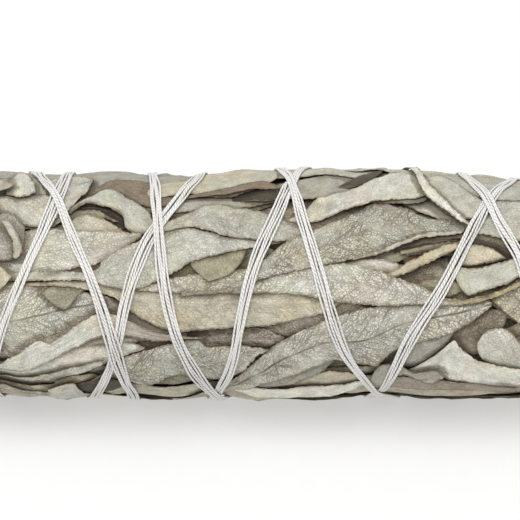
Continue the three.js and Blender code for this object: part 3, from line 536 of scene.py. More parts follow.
# The upper edge, and the arched leaves at its left.
grow_blade([(-40, -54), (-16, -54), (4, -52)], 7, "grey", net=0.4, seed=206, spacing=0.5)
face_blade("grey", [(-58, -22.6), (-40, -22.8), (-28, -22.4), (-16, -21.8), (-8, -20.8)],
           [(-58, -18), (-40, -17.4), (-28, -17), (-16, -17.6), (-8, -20)], net=0.3)
# Near-black strip: painted shade in a gap between leaves.
face_blade("slit_shade", [(14, -18.8), (16, -19.5), (19, -20.4), (22, -21)],
           [(14, -18.6), (16.5, -18.5), (19.5, -19.1), (22, -20.7)], net=0.2)
face_blade("silver", [(14, -23), (28, -22.6), (40, -22.6), (50, -22.2), (62, -21)],
           [(14, -21.6), (28, -19.6), (40, -17.4), (50, -16.2), (62, -16.8)], net=0.3)
face_blade("brown", [(-60, -19.3), (-43, -19.6), (-30.2, -18.7), (-27, -19.6), (-21.6, -19.8),
                     (-17.6, -19.1), (-13.5, -17.8)],
           [(-60, -16.4), (-43, -16), (-30.2, -16.9), (-26.1, -17.1), (-21.6, -15.8), (-17.3, -15.5),
            (-13.5, -16.7)], net=0.5, wave=0.3)
# Near-black strip: painted shade in the hollow under the arched leaves.
face_blade("slit_shade", [(-38, -16.8), (-31, -15.9), (-27, -14.9), (-24, -12.6)],
           [(-38, -12.5), (-31, -12), (-27, -11.4), (-24, -11)], net=0.3)
face_blade("olive", [(-36, -15), (-32, -15.1), (-29, -14.6), (-26.6, -13), (-25.2, -12.4)],
           [(-36, -13.2), (-32, -13.6), (-29, -12.8), (-26.6, -12.3), (-25.2, -12)],
           net=0.3, rag=0.5, wave=0.6)
face_blade("beige", [(-56, -11.2), (-43.2, -11.7), (-36, -12.8), (-33.3, -13.5), (-31.5, -14.1),
                     (-28.8, -13.1), (-26.1, -11.7), (-23.8, -10.3), (-22.5, -10)],
           [(-56, -9.4), (-43.2, -9.2), (-36, -9.5), (-33.3, -9.6), (-28.8, -9.5), (-26.1, -9.5),
            (-22.5, -9.8)], net=0.4, wave=0.2)
face_blade("silver", [(-58, -13), (-43.2, -14.8), (-34.2, -16), (-30.6, -16.9), (-27.2, -17.8),
                      (-23.8, -16.6), (-20.2, -14.8), (-18.9, -12.4)],
           [(-58, -11), (-43.2, -11.7), (-34.9, -14.2), (-31.3, -15.8), (-28.3, -15.3), (-24.8, -13.7),
            (-23.9, -11), (-22.1, -10.1), (-20.5, -10.3), (-18.9, -12.1)], net=0.3, wave=0.5, puff=1.2)
face_blade("silver", [(-68, -17), (-56, -19), (-45, -20.2), (-37.8, -21), (-33, -21), (-29.8, -20.3)],
           [(-68, -13), (-56, -11.7), (-43.2, -11), (-37.4, -11.3), (-35, -13), (-33.4, -15),
            (-31.6, -16.4), (-30.4, -18.2), (-29.8, -19.8)], net=0.3, rag=0.5, rim=1, wave=0.3)
# The lower edge, left of the middle.
grow_blade([(-70, 54), (-48, 57), (-27, 50)], 7, "silver", net=0.6, seed=204, spacing=0.5)
face_blade("brown", [(-36, 9.4), (-27, 8.6), (-20, 8.2), (-15, 8.2)],
           [(-36, 12), (-27, 12.8), (-20, 13), (-15, 12)], net=0.7, wave=0.4)
face_blade("pale", [(-68, 14), (-56, 14.6), (-46.8, 14.8), (-40.5, 13), (-36, 10.8), (-30, 9.6),
                    (-25, 9.9), (-20.5, 11.2)],
           [(-68, 17.5), (-56, 18.9), (-46.8, 19.4), (-41.4, 18.5), (-36, 16.9), (-30.6, 15.4),
            (-27, 14.4), (-20.5, 11.4)], net=0.3, lines=0.5, wave=0.3)
face_blade("white", [(-58, 17.4), (-44, 17.4), (-38, 16.2), (-33, 14.8), (-28, 13.9)],
           [(-58, 19.6), (-44, 19.8), (-38, 18.6), (-33, 16.8), (-28, 14.5)], net=0.5, wave=0.4)
face_blade("white", [(-42, 11), (-36, 9.8), (-30, 9), (-24, 8.6), (-17.5, 9)],
           [(-42, 13), (-36, 12.2), (-32.4, 11.1), (-27, 10.9), (-22, 10.2), (-17.5, 9.6)],
           net=0.4, lines=0.5, wave=0.2, blush=-1)
grow_blade([(-72, 86), (-54, 78), (-38, 68)], 8, "brown", net=0.8, wave=0.5, seed=205, spacing=0.6)
face_blade("yellow", [(-64, 17.8), (-46.8, 18), (-37.8, 18.2), (-36.4, 17.5), (-33.3, 16.6),
                      (-30.2, 16.7), (-28, 18.2)],
           [(-64, 20.9), (-46.8, 21), (-37.8, 20.9), (-35.6, 20.9), (-32.8, 20.9), (-29.9, 20.3),
            (-28, 18.9)], net=0.3, puff=1)
face_blade("white", [(-62, 16.8), (-46, 18.2), (-36, 19), (-28.8, 17), (-24.5, 13.5), (-20.7, 11.7),
                     (-15.3, 10.3), (-11.2, 9.7), (-9.4, 11), (-4.5, 11), (1.6, 11.3)],
           [(-62, 18.6), (-46, 19.2), (-36, 19.6), (-28.8, 19.3), (-24.3, 18.5), (-19.8, 18.2),
            (-15.3, 16.7), (-10.8, 17.5), (-6.8, 17.8), (-3.6, 16.2), (-0.5, 13.3), (1.6, 11.7)],
           net=1, rag=0.5, wave=0.3)
# Near-black strip: painted shade in a gap between leaves.
face_blade("slit_shade", [(-33, 18.2), (-30, 17.5), (-27, 17.4), (-24.6, 17.9)],
           [(-33, 19), (-30, 20), (-27, 19.8), (-24.6, 18.8)], net=0.3)
face_blade("white", [(-38, 18.6), (-35, 17.4), (-33.4, 17.3), (-32.6, 18.4), (-31.2, 19.8),
                     (-28.5, 20.2)],
           [(-38, 20.8), (-35, 21), (-33.4, 20.9), (-32.2, 20.9), (-30.6, 21), (-28.5, 20.9)],
           net=0.2, wave=0.4)
# The large leaves across the middle, and what lies over them.
face_blade("grey", [(-44, 1), (-30, 1.2), (-23.4, 3.4), (-18, 6), (-13, 8.5)],
           [(-44, 9), (-30, 9), (-23.4, 9.4), (-18, 10), (-13, 9.3)], net=0.4)
face_blade("white", [(-72, 2.3), (-57.6, 0.5), (-46.8, -0.7), (-41.4, -1.1), (-36, -0.7), (-31.5, 0.7),
                     (-27.7, 2.5)],
           [(-72, 10.5), (-57.6, 13), (-46.8, 13.9), (-42.3, 12.9), (-38, 11), (-33.1, 7.8),
            (-29.2, 5.2), (-27.7, 3.4)], net=0.8, rib=1)
face_blade("pale", [(-10, 9.2), (-13.2, 9), (-16.6, 8.6), (-19.8, 7.8), (-23.4, 6.2), (-26.1, 5.2),
                    (-28.5, 4.9), (-30.1, 5.4), (-32.4, 6.7), (-34.8, 8.3), (-37.3, 10), (-39.8, 9.7),
                    (-42.3, 11.7), (-45, 13.7), (-46.8, 15.4)],
           [(-10, 9.3), (-13.2, 9.4), (-16.6, 9.8), (-19.8, 9.5), (-23.4, 9), (-27.5, 9), (-30.1, 9.7),
            (-32.2, 10.7), (-34.4, 11.7), (-35.7, 12.4), (-36.9, 13.2), (-38.7, 14.2), (-41.8, 15.8),
            (-45, 16.3), (-46.8, 16.1)], loose=1, net=0.35, lines=0.8, blush=-1, wave=0.15)
face_blade("olive", [(-22, -2.7), (-29.7, -1.3), (-33.5, -1), (-36, -0.6), (-38.9, 0.8)],
           [(-22, -1.5), (-29.5, -0.3), (-32.4, 1.6), (-34.4, 4.2), (-36.3, 3.5), (-38.9, 1.2)],
           loose=2, net=0.3, rim=0.5)
face_blade("beige", [(-42, -0.8), (-34.2, -1.2), (-27.9, -1), (-22.1, -0.7), (-14.4, -0.9), (-1.8, -0.5),
                     (7.2, 0.4), (14.6, 2.5)],
           [(-42, -0.2), (-34.2, -0.1), (-26.6, 1.7), (-23.2, 4.7), (-18.9, 7), (-14.4, 8.1),
            (-5.9, 7.7), (1.8, 7), (6.7, 5.9), (11.3, 4.9), (14.6, 2.9)], net=0.4)
face_blade("white", [(53.3, -4.5), (50.4, -3.1), (46.8, -1.4), (43.2, 0.4), (37.8, 2), (32.9, 2.3),
                     (30.2, 0.5), (27.2, -0.7), (24.3, -1.8), (19.8, -3.4), (14.4, -4.5), (9.2, -4.5),
                     (3.1, -3.8), (-2.7, -3.4), (-8.1, -3.1), (-12.6, -2.3), (-17.8, -1.1), (-22.3, 0.4)],
           [(53.3, -3.6), (50.4, -2.2), (46.8, -0.5), (43.2, 1.3), (37.8, 2.9), (32.9, 3.4), (30.6, 3.2),
            (27, 3.2), (23.2, 3.4), (18, 3.1), (13.1, 2.7), (7.2, 1.4), (2.2, 1.1), (-2.7, 1.1),
            (-8.1, 1.1), (-12.6, 1.1), (-18, 0.9), (-22.3, 0.6)], loose=3, net=0.85, stalk=0.28)
face_blade("olive", [(-1.8, -8.5), (-2.5, -6.7), (-3.6, -4.1), (-6.1, -2), (-9, -1.1)],
           [(-11.5, -9.2), (-11.9, -7), (-12.6, -4.7), (-10.8, -2.3), (-9.2, -1.1)], net=0.3)
face_blade("white", [(-74, -3.8), (-61, -6.7), (-50, -8.8), (-42.3, -11), (-37.4, -11.5), (-29.2, -10.6),
                     (-21.1, -9.9)],
           [(-74, -2), (-61, -1.6), (-50, -2), (-41, -2.3), (-36, -2.7), (-33.1, -3.6), (-29.9, -4.1),
            (-27.7, -5), (-24.3, -7.2), (-21.1, -9.4)], net=0.65, lines=0.4, blush=1)
face_blade("silver", [(-72, -17.5), (-57.6, -20), (-45.9, -20.7), (-43.2, -21.2), (-40.3, -20.7),
                      (-38.2, -18.5)],
           [(-72, -14.9), (-57.6, -15.7), (-46.8, -16.4), (-44.6, -16.7), (-41.4, -15.8), (-38.2, -16.4)],
           net=0.4, wave=0.8, puff=1)
face_blade("silver", [(-74, -14.8), (-61, -16.7), (-46.8, -17.8), (-43.2, -18), (-38.7, -17.8),
                      (-36, -16.2)],
           [(-74, -12.8), (-61, -12.8), (-48.6, -15.3), (-45, -13.5), (-41.8, -11.9), (-38.5, -11.7),
            (-36, -13.5)], net=0.35, puff=2)
face_blade("white", [(-45.5, -20), (-43, -20.9), (-40.8, -20), (-40, -18)],
           [(-45.5, -17.8), (-43.6, -16.6), (-41.6, -16.8), (-40, -17.6)], net=0.3, puff=1.6, wave=0.6)
face_blade("grey", [(-78, -11.2), (-65, -12.4), (-54, -13.5), (-46.8, -14), (-43.9, -13.3),
                    (-41.9, -11.3)],
           [(-78, -7.7), (-65, -5.6), (-54, -4.9), (-46.8, -4.9), (-43.6, -5.6), (-41.9, -8.1)],
           net=0.6, fold=0.5)
face_blade("silver", [(-44.6, -12.6), (-42.7, -9), (-42.4, -7), (-43.1, -5.2)],
           [(-46.2, -12.6), (-44.2, -9), (-43.9, -7), (-44, -5.3)], net=0.2, spacing=0.35)
face_blade("white", [(-50, -2.9), (-40, -3), (-29.9, -3.1), (-28.1, -5), (-26.6, -6.1), (-23.8, -7.6),
                     (-21.2, -8.8), (-18.9, -10.8), (-16.6, -12.1), (-12.6, -11.2), (-5.9, -9.5),
                     (0, -9.2), (5.6, -9.4)],
           [(-50, -1.3), (-40, -1.2), (-30.5, -1.2), (-27.4, -0.2), (-22.1, 0.4), (-16.2, -2.2),
            (-12.4, -4.5), (-8.1, -5.8), (-3.8, -7), (1.8, -8.3), (5.6, -9)], net=0.5, lines=0.3)
face_blade("silver", [(-20, -10.9), (-18, -11.3), (-16, -12.8), (-12.1, -14.2), (-9, -15.3),
                      (-3.6, -14.9), (2, -14.4), (5.4, -12.8), (9, -9.9)],
           [(-20, -10.4), (-18, -10.4), (-13.1, -11.2), (-9, -10.3), (-5.9, -9.4), (0, -9), (5.4, -8.8),
            (9, -9)], net=0.5, specks=1)
# Near-black strip: painted shade in a gap between leaves.
face_blade("slit_shade", [(-5, -18.6), (0, -18.8), (3.4, -18.4)],
           [(-5, -16.4), (0, -16.1), (3.4, -16.4)], net=0.3)
face_blade("beige", [(-20.5, -18.4), (-18, -19.2), (-12.6, -20.4), (-8.1, -21), (-3.6, -21.3),
                     (3.2, -21.3)],
           [(-20.5, -17.3), (-18, -16.9), (-12.6, -17.5), (-8.1, -16.7), (-3.6, -17.1), (0.4, -18.5),
            (3.2, -20.4)], net=0.2, puff=0.9, rag=0.3)
face_blade("brown", [(-13, -17.3), (-7, -17.9), (-2, -18.7), (1.2, -19.2), (4.2, -18.6)],
           [(-13, -16.9), (-7, -16.8), (-2, -17.5), (1.2, -18), (4.2, -18.4)], net=0.4, wave=0.3)
face_blade("silver", [(-14, 0.9), (-3.6, -0.2), (-1.1, -3.1), (1.4, -5.8), (4.5, -8.5), (7.6, -10.1),
                      (12.8, -12.8), (16.2, -14.2), (20.5, -15.3), (26.6, -14.8), (30.6, -13.3),
                      (34.6, -13.1), (36.5, -12.1)],
           [(-14, 1.6), (-3.6, 0.5), (-0.4, -1.3), (3.1, -2.2), (9.2, -3.6), (14.4, -4.7), (19.6, -5.8),
            (23.4, -7.2), (28.8, -9.7), (32.4, -10.4), (35.8, -10.6), (36.5, -11.7)], loose=4, net=1)
face_blade("silver", [(16.5, -5.2), (21.2, -6.9), (25.4, -8.7), (29, -10.2), (32.6, -10.8), (36, -10.9)],
           [(16.5, -4.9), (21.2, -6.1), (25.4, -7.9), (29, -9.3), (32.6, -10), (36, -10.5)],
           loose=4, net=0.1, rim=1, spacing=0.35)
face_blade("white", [(5.2, -13.8), (7.2, -14.8), (10.4, -16.4), (15.3, -17.5), (21.6, -19.8),
                     (26.1, -20.6), (28.6, -19.8), (29.9, -17.8)],
           [(5.2, -13.3), (7.2, -13), (10.8, -13.1), (15.3, -14.4), (20.2, -15.5), (25.2, -16.2),
            (28.6, -16.7), (29.9, -17.5)], net=0.3, wave=0.3)
face_blade("silver", [(33.1, -3.4), (35.1, -4), (37.8, -3.6), (42.3, -4.5), (46.8, -6.1), (55.8, -8.5),
                      (64.8, -9.5), (73.4, -8.8)],
           [(34.2, -2.7), (36.7, 1.3), (40.5, 0.4), (44.1, -0.7), (46.8, -2.2), (55.8, -4.5),
            (64.8, -6.7), (73.4, -8.3)], loose=5, net=0.2)
face_blade("silver", [(28.6, -19.8), (32.4, -20.2), (36.9, -18.4), (41.4, -15.2)],
           [(28.6, -17.6), (32.4, -14.6), (36.4, -13.2), (41.4, -14.6)], net=0.3, fold=0.6)
face_blade("pale", [(26.3, -22.9), (28.3, -21.2), (30, -18.9), (31.8, -17.1), (33.6, -15.4),
                    (36.2, -13.2), (38, -11.9)],
           [(25.6, -22.3), (27.4, -20.6), (28.9, -17.8), (30, -16.2), (32.4, -14.6), (35.5, -12.5),
            (37.6, -11.6)], loose=6, net=0.2, wave=0.5)

# A collar of short leaves closes the base, and the middle cutting's own leaves close the tip.
COLLAR_LEAVES = 12
COLLAR_X = -73.0
COLLAR_SEEDS = 500
collar_draw = Draws(6163)
for number in range(COLLAR_LEAVES):
    a = number * 360 / COLLAR_LEAVES + collar_draw(-5, 5)
    x = COLLAR_X + collar_draw(-1.5, 1.5)
    length = collar_draw(22, 30)
    middle = (x + length / 2, a + collar_draw(-5, 5))
    tip = (x + length, a + collar_draw(-12, 12))
    grow_blade([(x, a), middle, tip], collar_draw(9, 12), OUTER_TINTS[number % len(OUTER_TINTS)],
               spacing=0.8, seed=number + COLLAR_SEEDS, net=0.3 + 0.6 * (number % 2), curl=(0.6, 0.5),
               wave=0.35, puff=0.4)

TIP_LEAVES = 5
TIP_SEEDS = 600
tip_draw = Draws(977)
for number in range(TIP_LEAVES):
    a = number * 360 / TIP_LEAVES + tip_draw(-10, 10)
    grow_blade([(CORE_X[-2] - 2, a), (93, a + 10), (TIP_END_X - 0.6 - number, a + 25)], 7, "silver",
               cutting=OUTER_CUTTINGS, spacing=0.6, seed=number + TIP_SEEDS, net=0.3, wave=0.4,
               curl=(0.6, 0.6), stiff=8)


# ---- The pressed bundle --------------------------------------------------------------------------
# Bound while fresh, the leaves were squeezed to a firm round bundle about 41 mm across, pinched a
# little below each winding of the thread and flattened where the bundle lies on its underside.

PRESSED_X = [-100, -84, -76, -68, -60, -50, -20, 30, 45, 55, 65, 75, 88, 100]
PRESSED_RADIUS = [10, 10.4, 12.5, 16.5, 19.2, 20.3, 20.5, 20.4, 20.1, 19.2, 17.4, 14.5, 9.5, 5.5]
UNDERSIDE_RADIUS = 20.0
UNDERSIDE_SPREAD = 25.0
UPPER_A = -80.0
UPPER_SPREAD = 62.0
PRESSED_FROM_X = -80.0
PRESSED_RAMP = 8.0
SETTLING_X = 4.0
SETTLING_A = 10.0
PACKED_DEPTH = 4.5
PACKING = 0.5
PINCH_DEPTH = 0.6
PINCH_WIDTH = 3.0
# Where each winding of the thread runs: degrees round the bundle, turn after turn, and x.
WINDING_UP = [
    (90, -82), (-90, -76), (-270, -66), (-450, -58), (-630, -50), (-690, -46.8), (-732, -41.4),
    (-765, -36.9), (-810, -34.4), (-990, -30.2), (-1047, -25.6), (-1074, -23.8), (-1103, -20.2),
    (-1143, -12.6), (-1170, -10.5), (-1350, -8.5), (-1397, -5), (-1444, -1.8), (-1493, 4.5),
    (-1530, 8), (-1710, 20), (-1768, 26.1), (-1804, 33.3), (-1843, 39.6), (-1890, 45.5),
    (-2070, 56), (-2250, 66), (-2430, 75), (-2560, 79),
]
WINDING_BACK = [
    (-2540, 79.5), (-2610, 78), (-2790, 70), (-2970, 62), (-3150, 55), (-3251, 46.8), (-3279, 42.3),
    (-3306, 39.2), (-3330, 36.5), (-3510, 23.5), (-3566, 14.8), (-3608, 10.4), (-3642, 7.2),
    (-3683, 4.1), (-3870, -6), (-3899, -10.3), (-3943, -15.8), (-3974, -17.6), (-4029, -18.9),
    (-4230, -22.5), (-4281, -25.6), (-4314, -28.8), (-4359, -34.9), (-4410, -40.1), (-4590, -47),
    (-4770, -57), (-4950, -66), (-5130, -74), (-5310, -77.2), (-5670, -80), (-6030, -82.8),
]


def route_x(route, angles):
    """x along a winding at each angle, on a smooth curve through its places."""
    angle, x = np.array(route, float).T
    slope = np.gradient(x, angle)
    k = np.clip(np.searchsorted(-angle, -angles) - 1, 0, len(angle) - 2)
    slope[1:-1] = (x[2:] - x[:-2]) / (angle[2:] - angle[:-2])
    span = angle[k + 1] - angle[k]
    t = (angles - angle[k]) / span
    return ((2 * t ** 3 - 3 * t ** 2 + 1) * x[k] + (t ** 3 - 2 * t ** 2 + t) * slope[k] * span
            + (3 * t ** 2 - 2 * t ** 3) * x[k + 1] + (t ** 3 - t ** 2) * slope[k + 1] * span)


def soften(field, width_x, width_a):
    """The field blurred by a bell of these widths, in mm and in degrees."""
    margin = int(3 * width_x / CELL_X)
    padded = np.pad(field, ((margin, margin), (0, 0)), mode="edge")
    rate_x = np.fft.fftfreq(len(padded), CELL_X)[:, None]
    rate_a = np.fft.rfftfreq(HEAP_ROWS, CELL_A)[None, :]
    bell = np.exp(-2 * math.pi ** 2 * ((rate_x * width_x) ** 2 + (rate_a * width_a) ** 2))
    return np.fft.irfft2(np.fft.rfft2(padded) * bell, s=padded.shape)[margin:margin + len(field)]


pinch = np.zeros_like(heap)
for route in (WINDING_UP, WINDING_BACK):
    angles = np.arange(route[0][0], route[-1][0], -0.5)
    places = route_x(route, angles)
    step = np.hypot(np.gradient(places), np.radians(0.5) * FACE_RADIUS)
    cell_area = CELL_X * np.radians(CELL_A) * FACE_RADIUS
    columns = np.clip(np.rint((places - HEAP_START) / CELL_X).astype(int), 0, HEAP_COLUMNS - 1)
    np.add.at(pinch, (columns, np.rint(np.mod(angles, 360) / CELL_A).astype(int) % HEAP_ROWS),
              step / cell_area)
pinch = soften(pinch, PINCH_WIDTH, math.degrees(PINCH_WIDTH / FACE_RADIUS))
pinch = PINCH_DEPTH * np.minimum(pinch * PINCH_WIDTH * math.sqrt(2 * math.pi), 1.25)

swell = soften(highest_near(heap, 4, 4), SETTLING_X, SETTLING_A)
target = np.interp(heap_x, PRESSED_X, PRESSED_RADIUS)[:, None] + 0 * heap
from_under = np.abs(np.mod(heap_a - UNDERSIDE_A + 180, 360) - 180)[None, :]
under = np.clip(1.4 - from_under / UNDERSIDE_SPREAD, 0, 1)
target = target - under * np.maximum(target - UNDERSIDE_RADIUS, 0)
from_upper = np.clip(((heap_a - UPPER_A + 180) % 360 - 180) / UPPER_SPREAD, -1, 1)
upper = np.cos(math.pi / 2 * from_upper) ** 2
target = target + np.interp(heap_x, UPPER_X, UPPER_RISE)[:, None] * upper[None, :]
pressed = np.clip((heap_x - PRESSED_FROM_X) / PRESSED_RAMP, 0, 1)[:, None]
swell = swell * pressed + target * (1 - pressed)


def press(x, a, r):
    """Where a place in the heap of leaves ends up in the bound bundle, tightest near its outside."""
    goal, reached = sample(target, x, a), sample(swell, x, a)
    packing = 1 - (1 - PACKING) * np.clip((x - PRESSED_FROM_X) / PRESSED_RAMP, 0, 1)
    packed = np.minimum(PACKED_DEPTH, 0.4 * reached)
    deep = r * (goal - packing * packed) / (reached - packed)
    r = np.where(reached - r < packed, goal - packing * (reached - r), deep)
    full = np.clip(r / goal, 0, 1.1)
    return r - sample(pinch, x, a) * full ** 2


FLATTENED_BELOW = 0.5
LOWEST = 0.06
FLATTENING = 0.9


def rest_on_table(points):
    """Flattens what would reach below the surface that the bundle lies on."""
    below = np.minimum(points[..., 2] - FLATTENED_BELOW, 0)
    flat = LOWEST + (FLATTENED_BELOW - LOWEST) * np.exp(below / FLATTENING)
    points[..., 2] = np.where(below < 0, flat, points[..., 2])
    return points


surface = press(heap_x[:, None] + 0 * heap, heap_a[None, :] + 0 * heap, heap)
overlap = highest_near(heap)


# ---- The sage as pieces --------------------------------------------------------------------------
# One piece for each cutting, its stem, core and rooted leaves together, and one for each loose leaf.
# Dried blades are felted: pale hairs over a net of brown veins, which shows most where the hairs are
# worn or thin, with tan to brown margins and a thin dark edge line that is partly painted shadow,
# and painted shade where one blade lies over another. Stems are ribbed and grey-brown, the inner
# leaves near-black, their own dark brown deepened as painted shade for the gaps they show through.


def put(tree, kind, inputs=(), **settings):
    """Adds a node with its settings and inputs, each a value or another node's output."""
    node = tree.nodes.new(kind)
    for name, value in settings.items():
        setattr(node, name, value)
    for socket, value in (inputs.items() if isinstance(inputs, dict) else enumerate(inputs)):
        if isinstance(value, bpy.types.NodeSocket):
            tree.links.new(value, node.inputs[socket])
        else:
            node.inputs[socket].default_value = value
    return node.outputs


def calc(tree, operation, *inputs):
    return put(tree, "ShaderNodeMath", inputs, operation=operation)[0]


def between(tree, value, low, high, to_low=0.0, to_high=1.0):
    """Carries a value smoothly from one range to another."""
    return put(tree, "ShaderNodeMapRange", (value, low, high, to_low, to_high),
               interpolation_type="SMOOTHSTEP")[0]


def blend(tree, share, first, second, kind="MIX"):
    return put(tree, "ShaderNodeMix", {0: share, 6: first, 7: second}, data_type="RGBA",
               blend_type=kind)[2]


def times(tree, first, second):
    return calc(tree, "MULTIPLY", first, second)


def calc_vector(tree, operation, first, second):
    """Adds, subtracts or multiplies two vectors part by part."""
    return put(tree, "ShaderNodeVectorMath", (first, second), operation=operation)[0]


def scaled(tree, vector, factor):
    return put(tree, "ShaderNodeVectorMath", {0: vector, "Scale": factor}, operation="SCALE")[0]


def parts(tree, vector):
    return put(tree, "ShaderNodeSeparateXYZ", (vector,))


def held(tree, name, output="Fac"):
    """What a mesh holds under this name at each point."""
    return put(tree, "ShaderNodeAttribute", attribute_name=name)[output]


def noise(tree, place, scale, detail=2.0, roughness=0.5, output=0):
    """Soft noise: its grey value, or its colour as output 1."""
    return put(tree, "ShaderNodeTexNoise", {"Vector": place, "Scale": scale, "Detail": detail,
                                            "Roughness": roughness})[output]


def mesh_lines(tree, place, scale, randomness):
    """The distance to the nearest side of an irregular net of cells."""
    return put(tree, "ShaderNodeTexVoronoi", {"Vector": place, "Scale": scale,
                                              "Randomness": randomness}, feature="DISTANCE_TO_EDGE")[0]


def new_material(name):
    material = bpy.data.materials.new(name)
    material.use_nodes = True
    material.node_tree.nodes.clear()
    return material, material.node_tree


def finish_material(tree, colour, height, relief, roughness, sheen, glow=0.0):
    """Joins colour, relief in metres and roughness in one matt surface."""
    normal = put(tree, "ShaderNodeBump", {"Height": height, "Strength": 1.0, "Distance": relief})[0]
    surface = put(tree, "ShaderNodeBsdfPrincipled", {
        "Base Color": colour, "Roughness": roughness, "Normal": normal, "Sheen Weight": sheen,
        "Sheen Roughness": 0.5, "Specular IOR Level": 0.25,
        "Emission Color": (1.0, 1.0, 1.0, 1.0), "Emission Strength": glow})[0]
    put(tree, "ShaderNodeOutputMaterial", {"Surface": surface})


HUES = [(1.03, 1.0, 0.84, 1), (0.99, 0.90, 0.83, 1), (0.94, 1.0, 0.97, 1)]
MARGIN_TAN = (0.78, 0.68, 0.56, 1)
TIP_BROWN = (0.42, 0.33, 0.26, 1)
ROOT_BROWN = (0.34, 0.285, 0.23, 1)
STALK_TAN = (0.52, 0.45, 0.27, 1)
VEIN_BROWN = (0.24, 0.19, 0.14, 1)
EDGE_BROWN_AND_SHADOW = (0.20, 0.155, 0.11, 1)
SPECK_BROWN = (0.10, 0.07, 0.05, 1)
OVERLAP_SHADE_BROWN = (0.32, 0.28, 0.22, 1)


def leaf_material():
    material, tree = new_material("felted_sage_leaf")
    along, across, rim_distance = parts(tree, held(tree, "blade", "Vector"))
    net, rim, seed = parts(tree, held(tree, "traits", "Vector"))
    lines, blush, specks = parts(tree, held(tree, "marks", "Vector"))
    rib, stalk, tip_distance = parts(tree, held(tree, "form", "Vector"))
    side = calc(tree, "ABSOLUTE", across)
    place = put(tree, "ShaderNodeCombineXYZ", (along, across, times(tree, seed, 7.3)))[0]
    stray = calc_vector(tree, "SUBTRACT", noise(tree, place, 0.8, output=1), (0.5, 0.5, 0.5))
    bent = calc_vector(tree, "ADD", place, scaled(tree, stray, 0.5))

    # Veins: a fine net, a wider net, slanting side veins and the midrib.
    fine = between(tree, mesh_lines(tree, bent, 1.9, 0.9), 0.03, 0.12, 1.0, 0.0)
    bent_along, bent_across, layer = parts(tree, bent)
    slant = calc(tree, "SUBTRACT", bent_along, times(tree, side, 1.15))
    slanted = put(tree, "ShaderNodeCombineXYZ", (slant, times(tree, bent_across, 0.6), layer))[0]
    wide = between(tree, mesh_lines(tree, slanted, 0.5, 1.0), 0.015, 0.05, 1.0, 0.0)
    slanting = between(tree, calc(tree, "PINGPONG", slant, 1.9), 0.05, 0.15, 1.0, 0.0)
    slanting = times(tree, slanting, calc(tree, "MULTIPLY_ADD", rib, 0.6, 0.35))
    midrib = times(tree, between(tree, side, 0.08, 0.3, 1.0, 0.0), rib)
    straight = calc(tree, "PINGPONG", bent_across, 0.55)
    straight = times(tree, between(tree, straight, 0.04, 0.2, 1.0, 0.0), lines)
    branches = times(tree, calc(tree, "MAXIMUM", wide, slanting), 0.7)
    veins = calc(tree, "MAXIMUM", times(tree, fine, 0.6), branches)
    veins = calc(tree, "MAXIMUM", veins, midrib)
    veins = calc(tree, "MAXIMUM", veins, straight)
    worn = between(tree, noise(tree, place, 0.22), 0.3, 0.62, 0.35, 1.0)
    shown = times(tree, times(tree, veins, net), worn)

    # Colour: the blade's own tint, mottled, with darker veins, browned margins with a thin dark edge
    # line that is partly painted shadow, a few specks, and painted shade where another blade
    # lies over it.
    mottle = noise(tree, place, 0.45, 3.0, 0.6)
    felt = noise(tree, place, 4.2, 3.0, 0.75)
    shade = calc(tree, "ADD", between(tree, mottle, 0.25, 0.75, 0.8, 1.14),
                 between(tree, felt, 0.3, 0.7, -0.2, 0.2))
    colour = scaled(tree, held(tree, "tint", "Color"), shade)
    for part, hue in zip(parts(tree, noise(tree, place, 0.13, output=1)), HUES):
        colour = blend(tree, between(tree, part, 0.45, 0.68, 0.0, 0.55), colour, hue, "MULTIPLY")
    margin = between(tree, rim_distance, 0.8, 0.0, 0.0, 0.4)
    colour = blend(tree, margin, colour, MARGIN_TAN, "MULTIPLY")
    at_tip = times(tree, calc(tree, "MAXIMUM", blush, 0.0), between(tree, tip_distance, 14.0, 1.0))
    colour = blend(tree, times(tree, at_tip, 0.45), colour, TIP_BROWN)
    at_root = calc(tree, "MAXIMUM", times(tree, blush, -1.0), 0.0)
    at_root = times(tree, at_root, between(tree, along, 28.0, 5.0))
    colour = blend(tree, times(tree, at_root, 0.8), colour, ROOT_BROWN)
    colour = blend(tree, between(tree, stalk, 0.35, 0.9), colour, STALK_TAN)
    shown = put(tree, "ShaderNodeMath", (calc(tree, "POWER", shown, 0.75), 1.05), operation="MULTIPLY",
                use_clamp=True)[0]
    colour = blend(tree, shown, colour, VEIN_BROWN, "MULTIPLY")
    # The thin dark line along the very edge: the leaf's own browning and painted contact shadow.
    edge_noise = between(tree, noise(tree, place, 0.6), 0.35, 0.65, 0.02, 0.42)
    rim_strength = put(tree, "ShaderNodeMath", (rim, 0.45), operation="ADD", use_clamp=True)[0]
    brown_and_shadow_edge = times(tree, calc(tree, "LESS_THAN", rim_distance, edge_noise), rim_strength)
    colour = blend(tree, times(tree, brown_and_shadow_edge, 0.75), colour, EDGE_BROWN_AND_SHADOW)
    dots = put(tree, "ShaderNodeTexVoronoi", {"Vector": place, "Scale": 0.9})[0]
    dots = times(tree, between(tree, dots, 0.07, 0.13, 1.0, 0.0), calc(tree, "ADD", specks, 0.25))
    sparse = between(tree, noise(tree, place, 0.33, 1.0), 0.58, 0.66)
    dots = times(tree, times(tree, dots, sparse), 0.8)
    colour = blend(tree, dots, colour, SPECK_BROWN)
    # Painted shade, deepest where a higher blade lies close over this one.
    colour = blend(tree, times(tree, held(tree, "overlap_shade"), 0.75), colour, OVERLAP_SHADE_BROWN, "MULTIPLY")

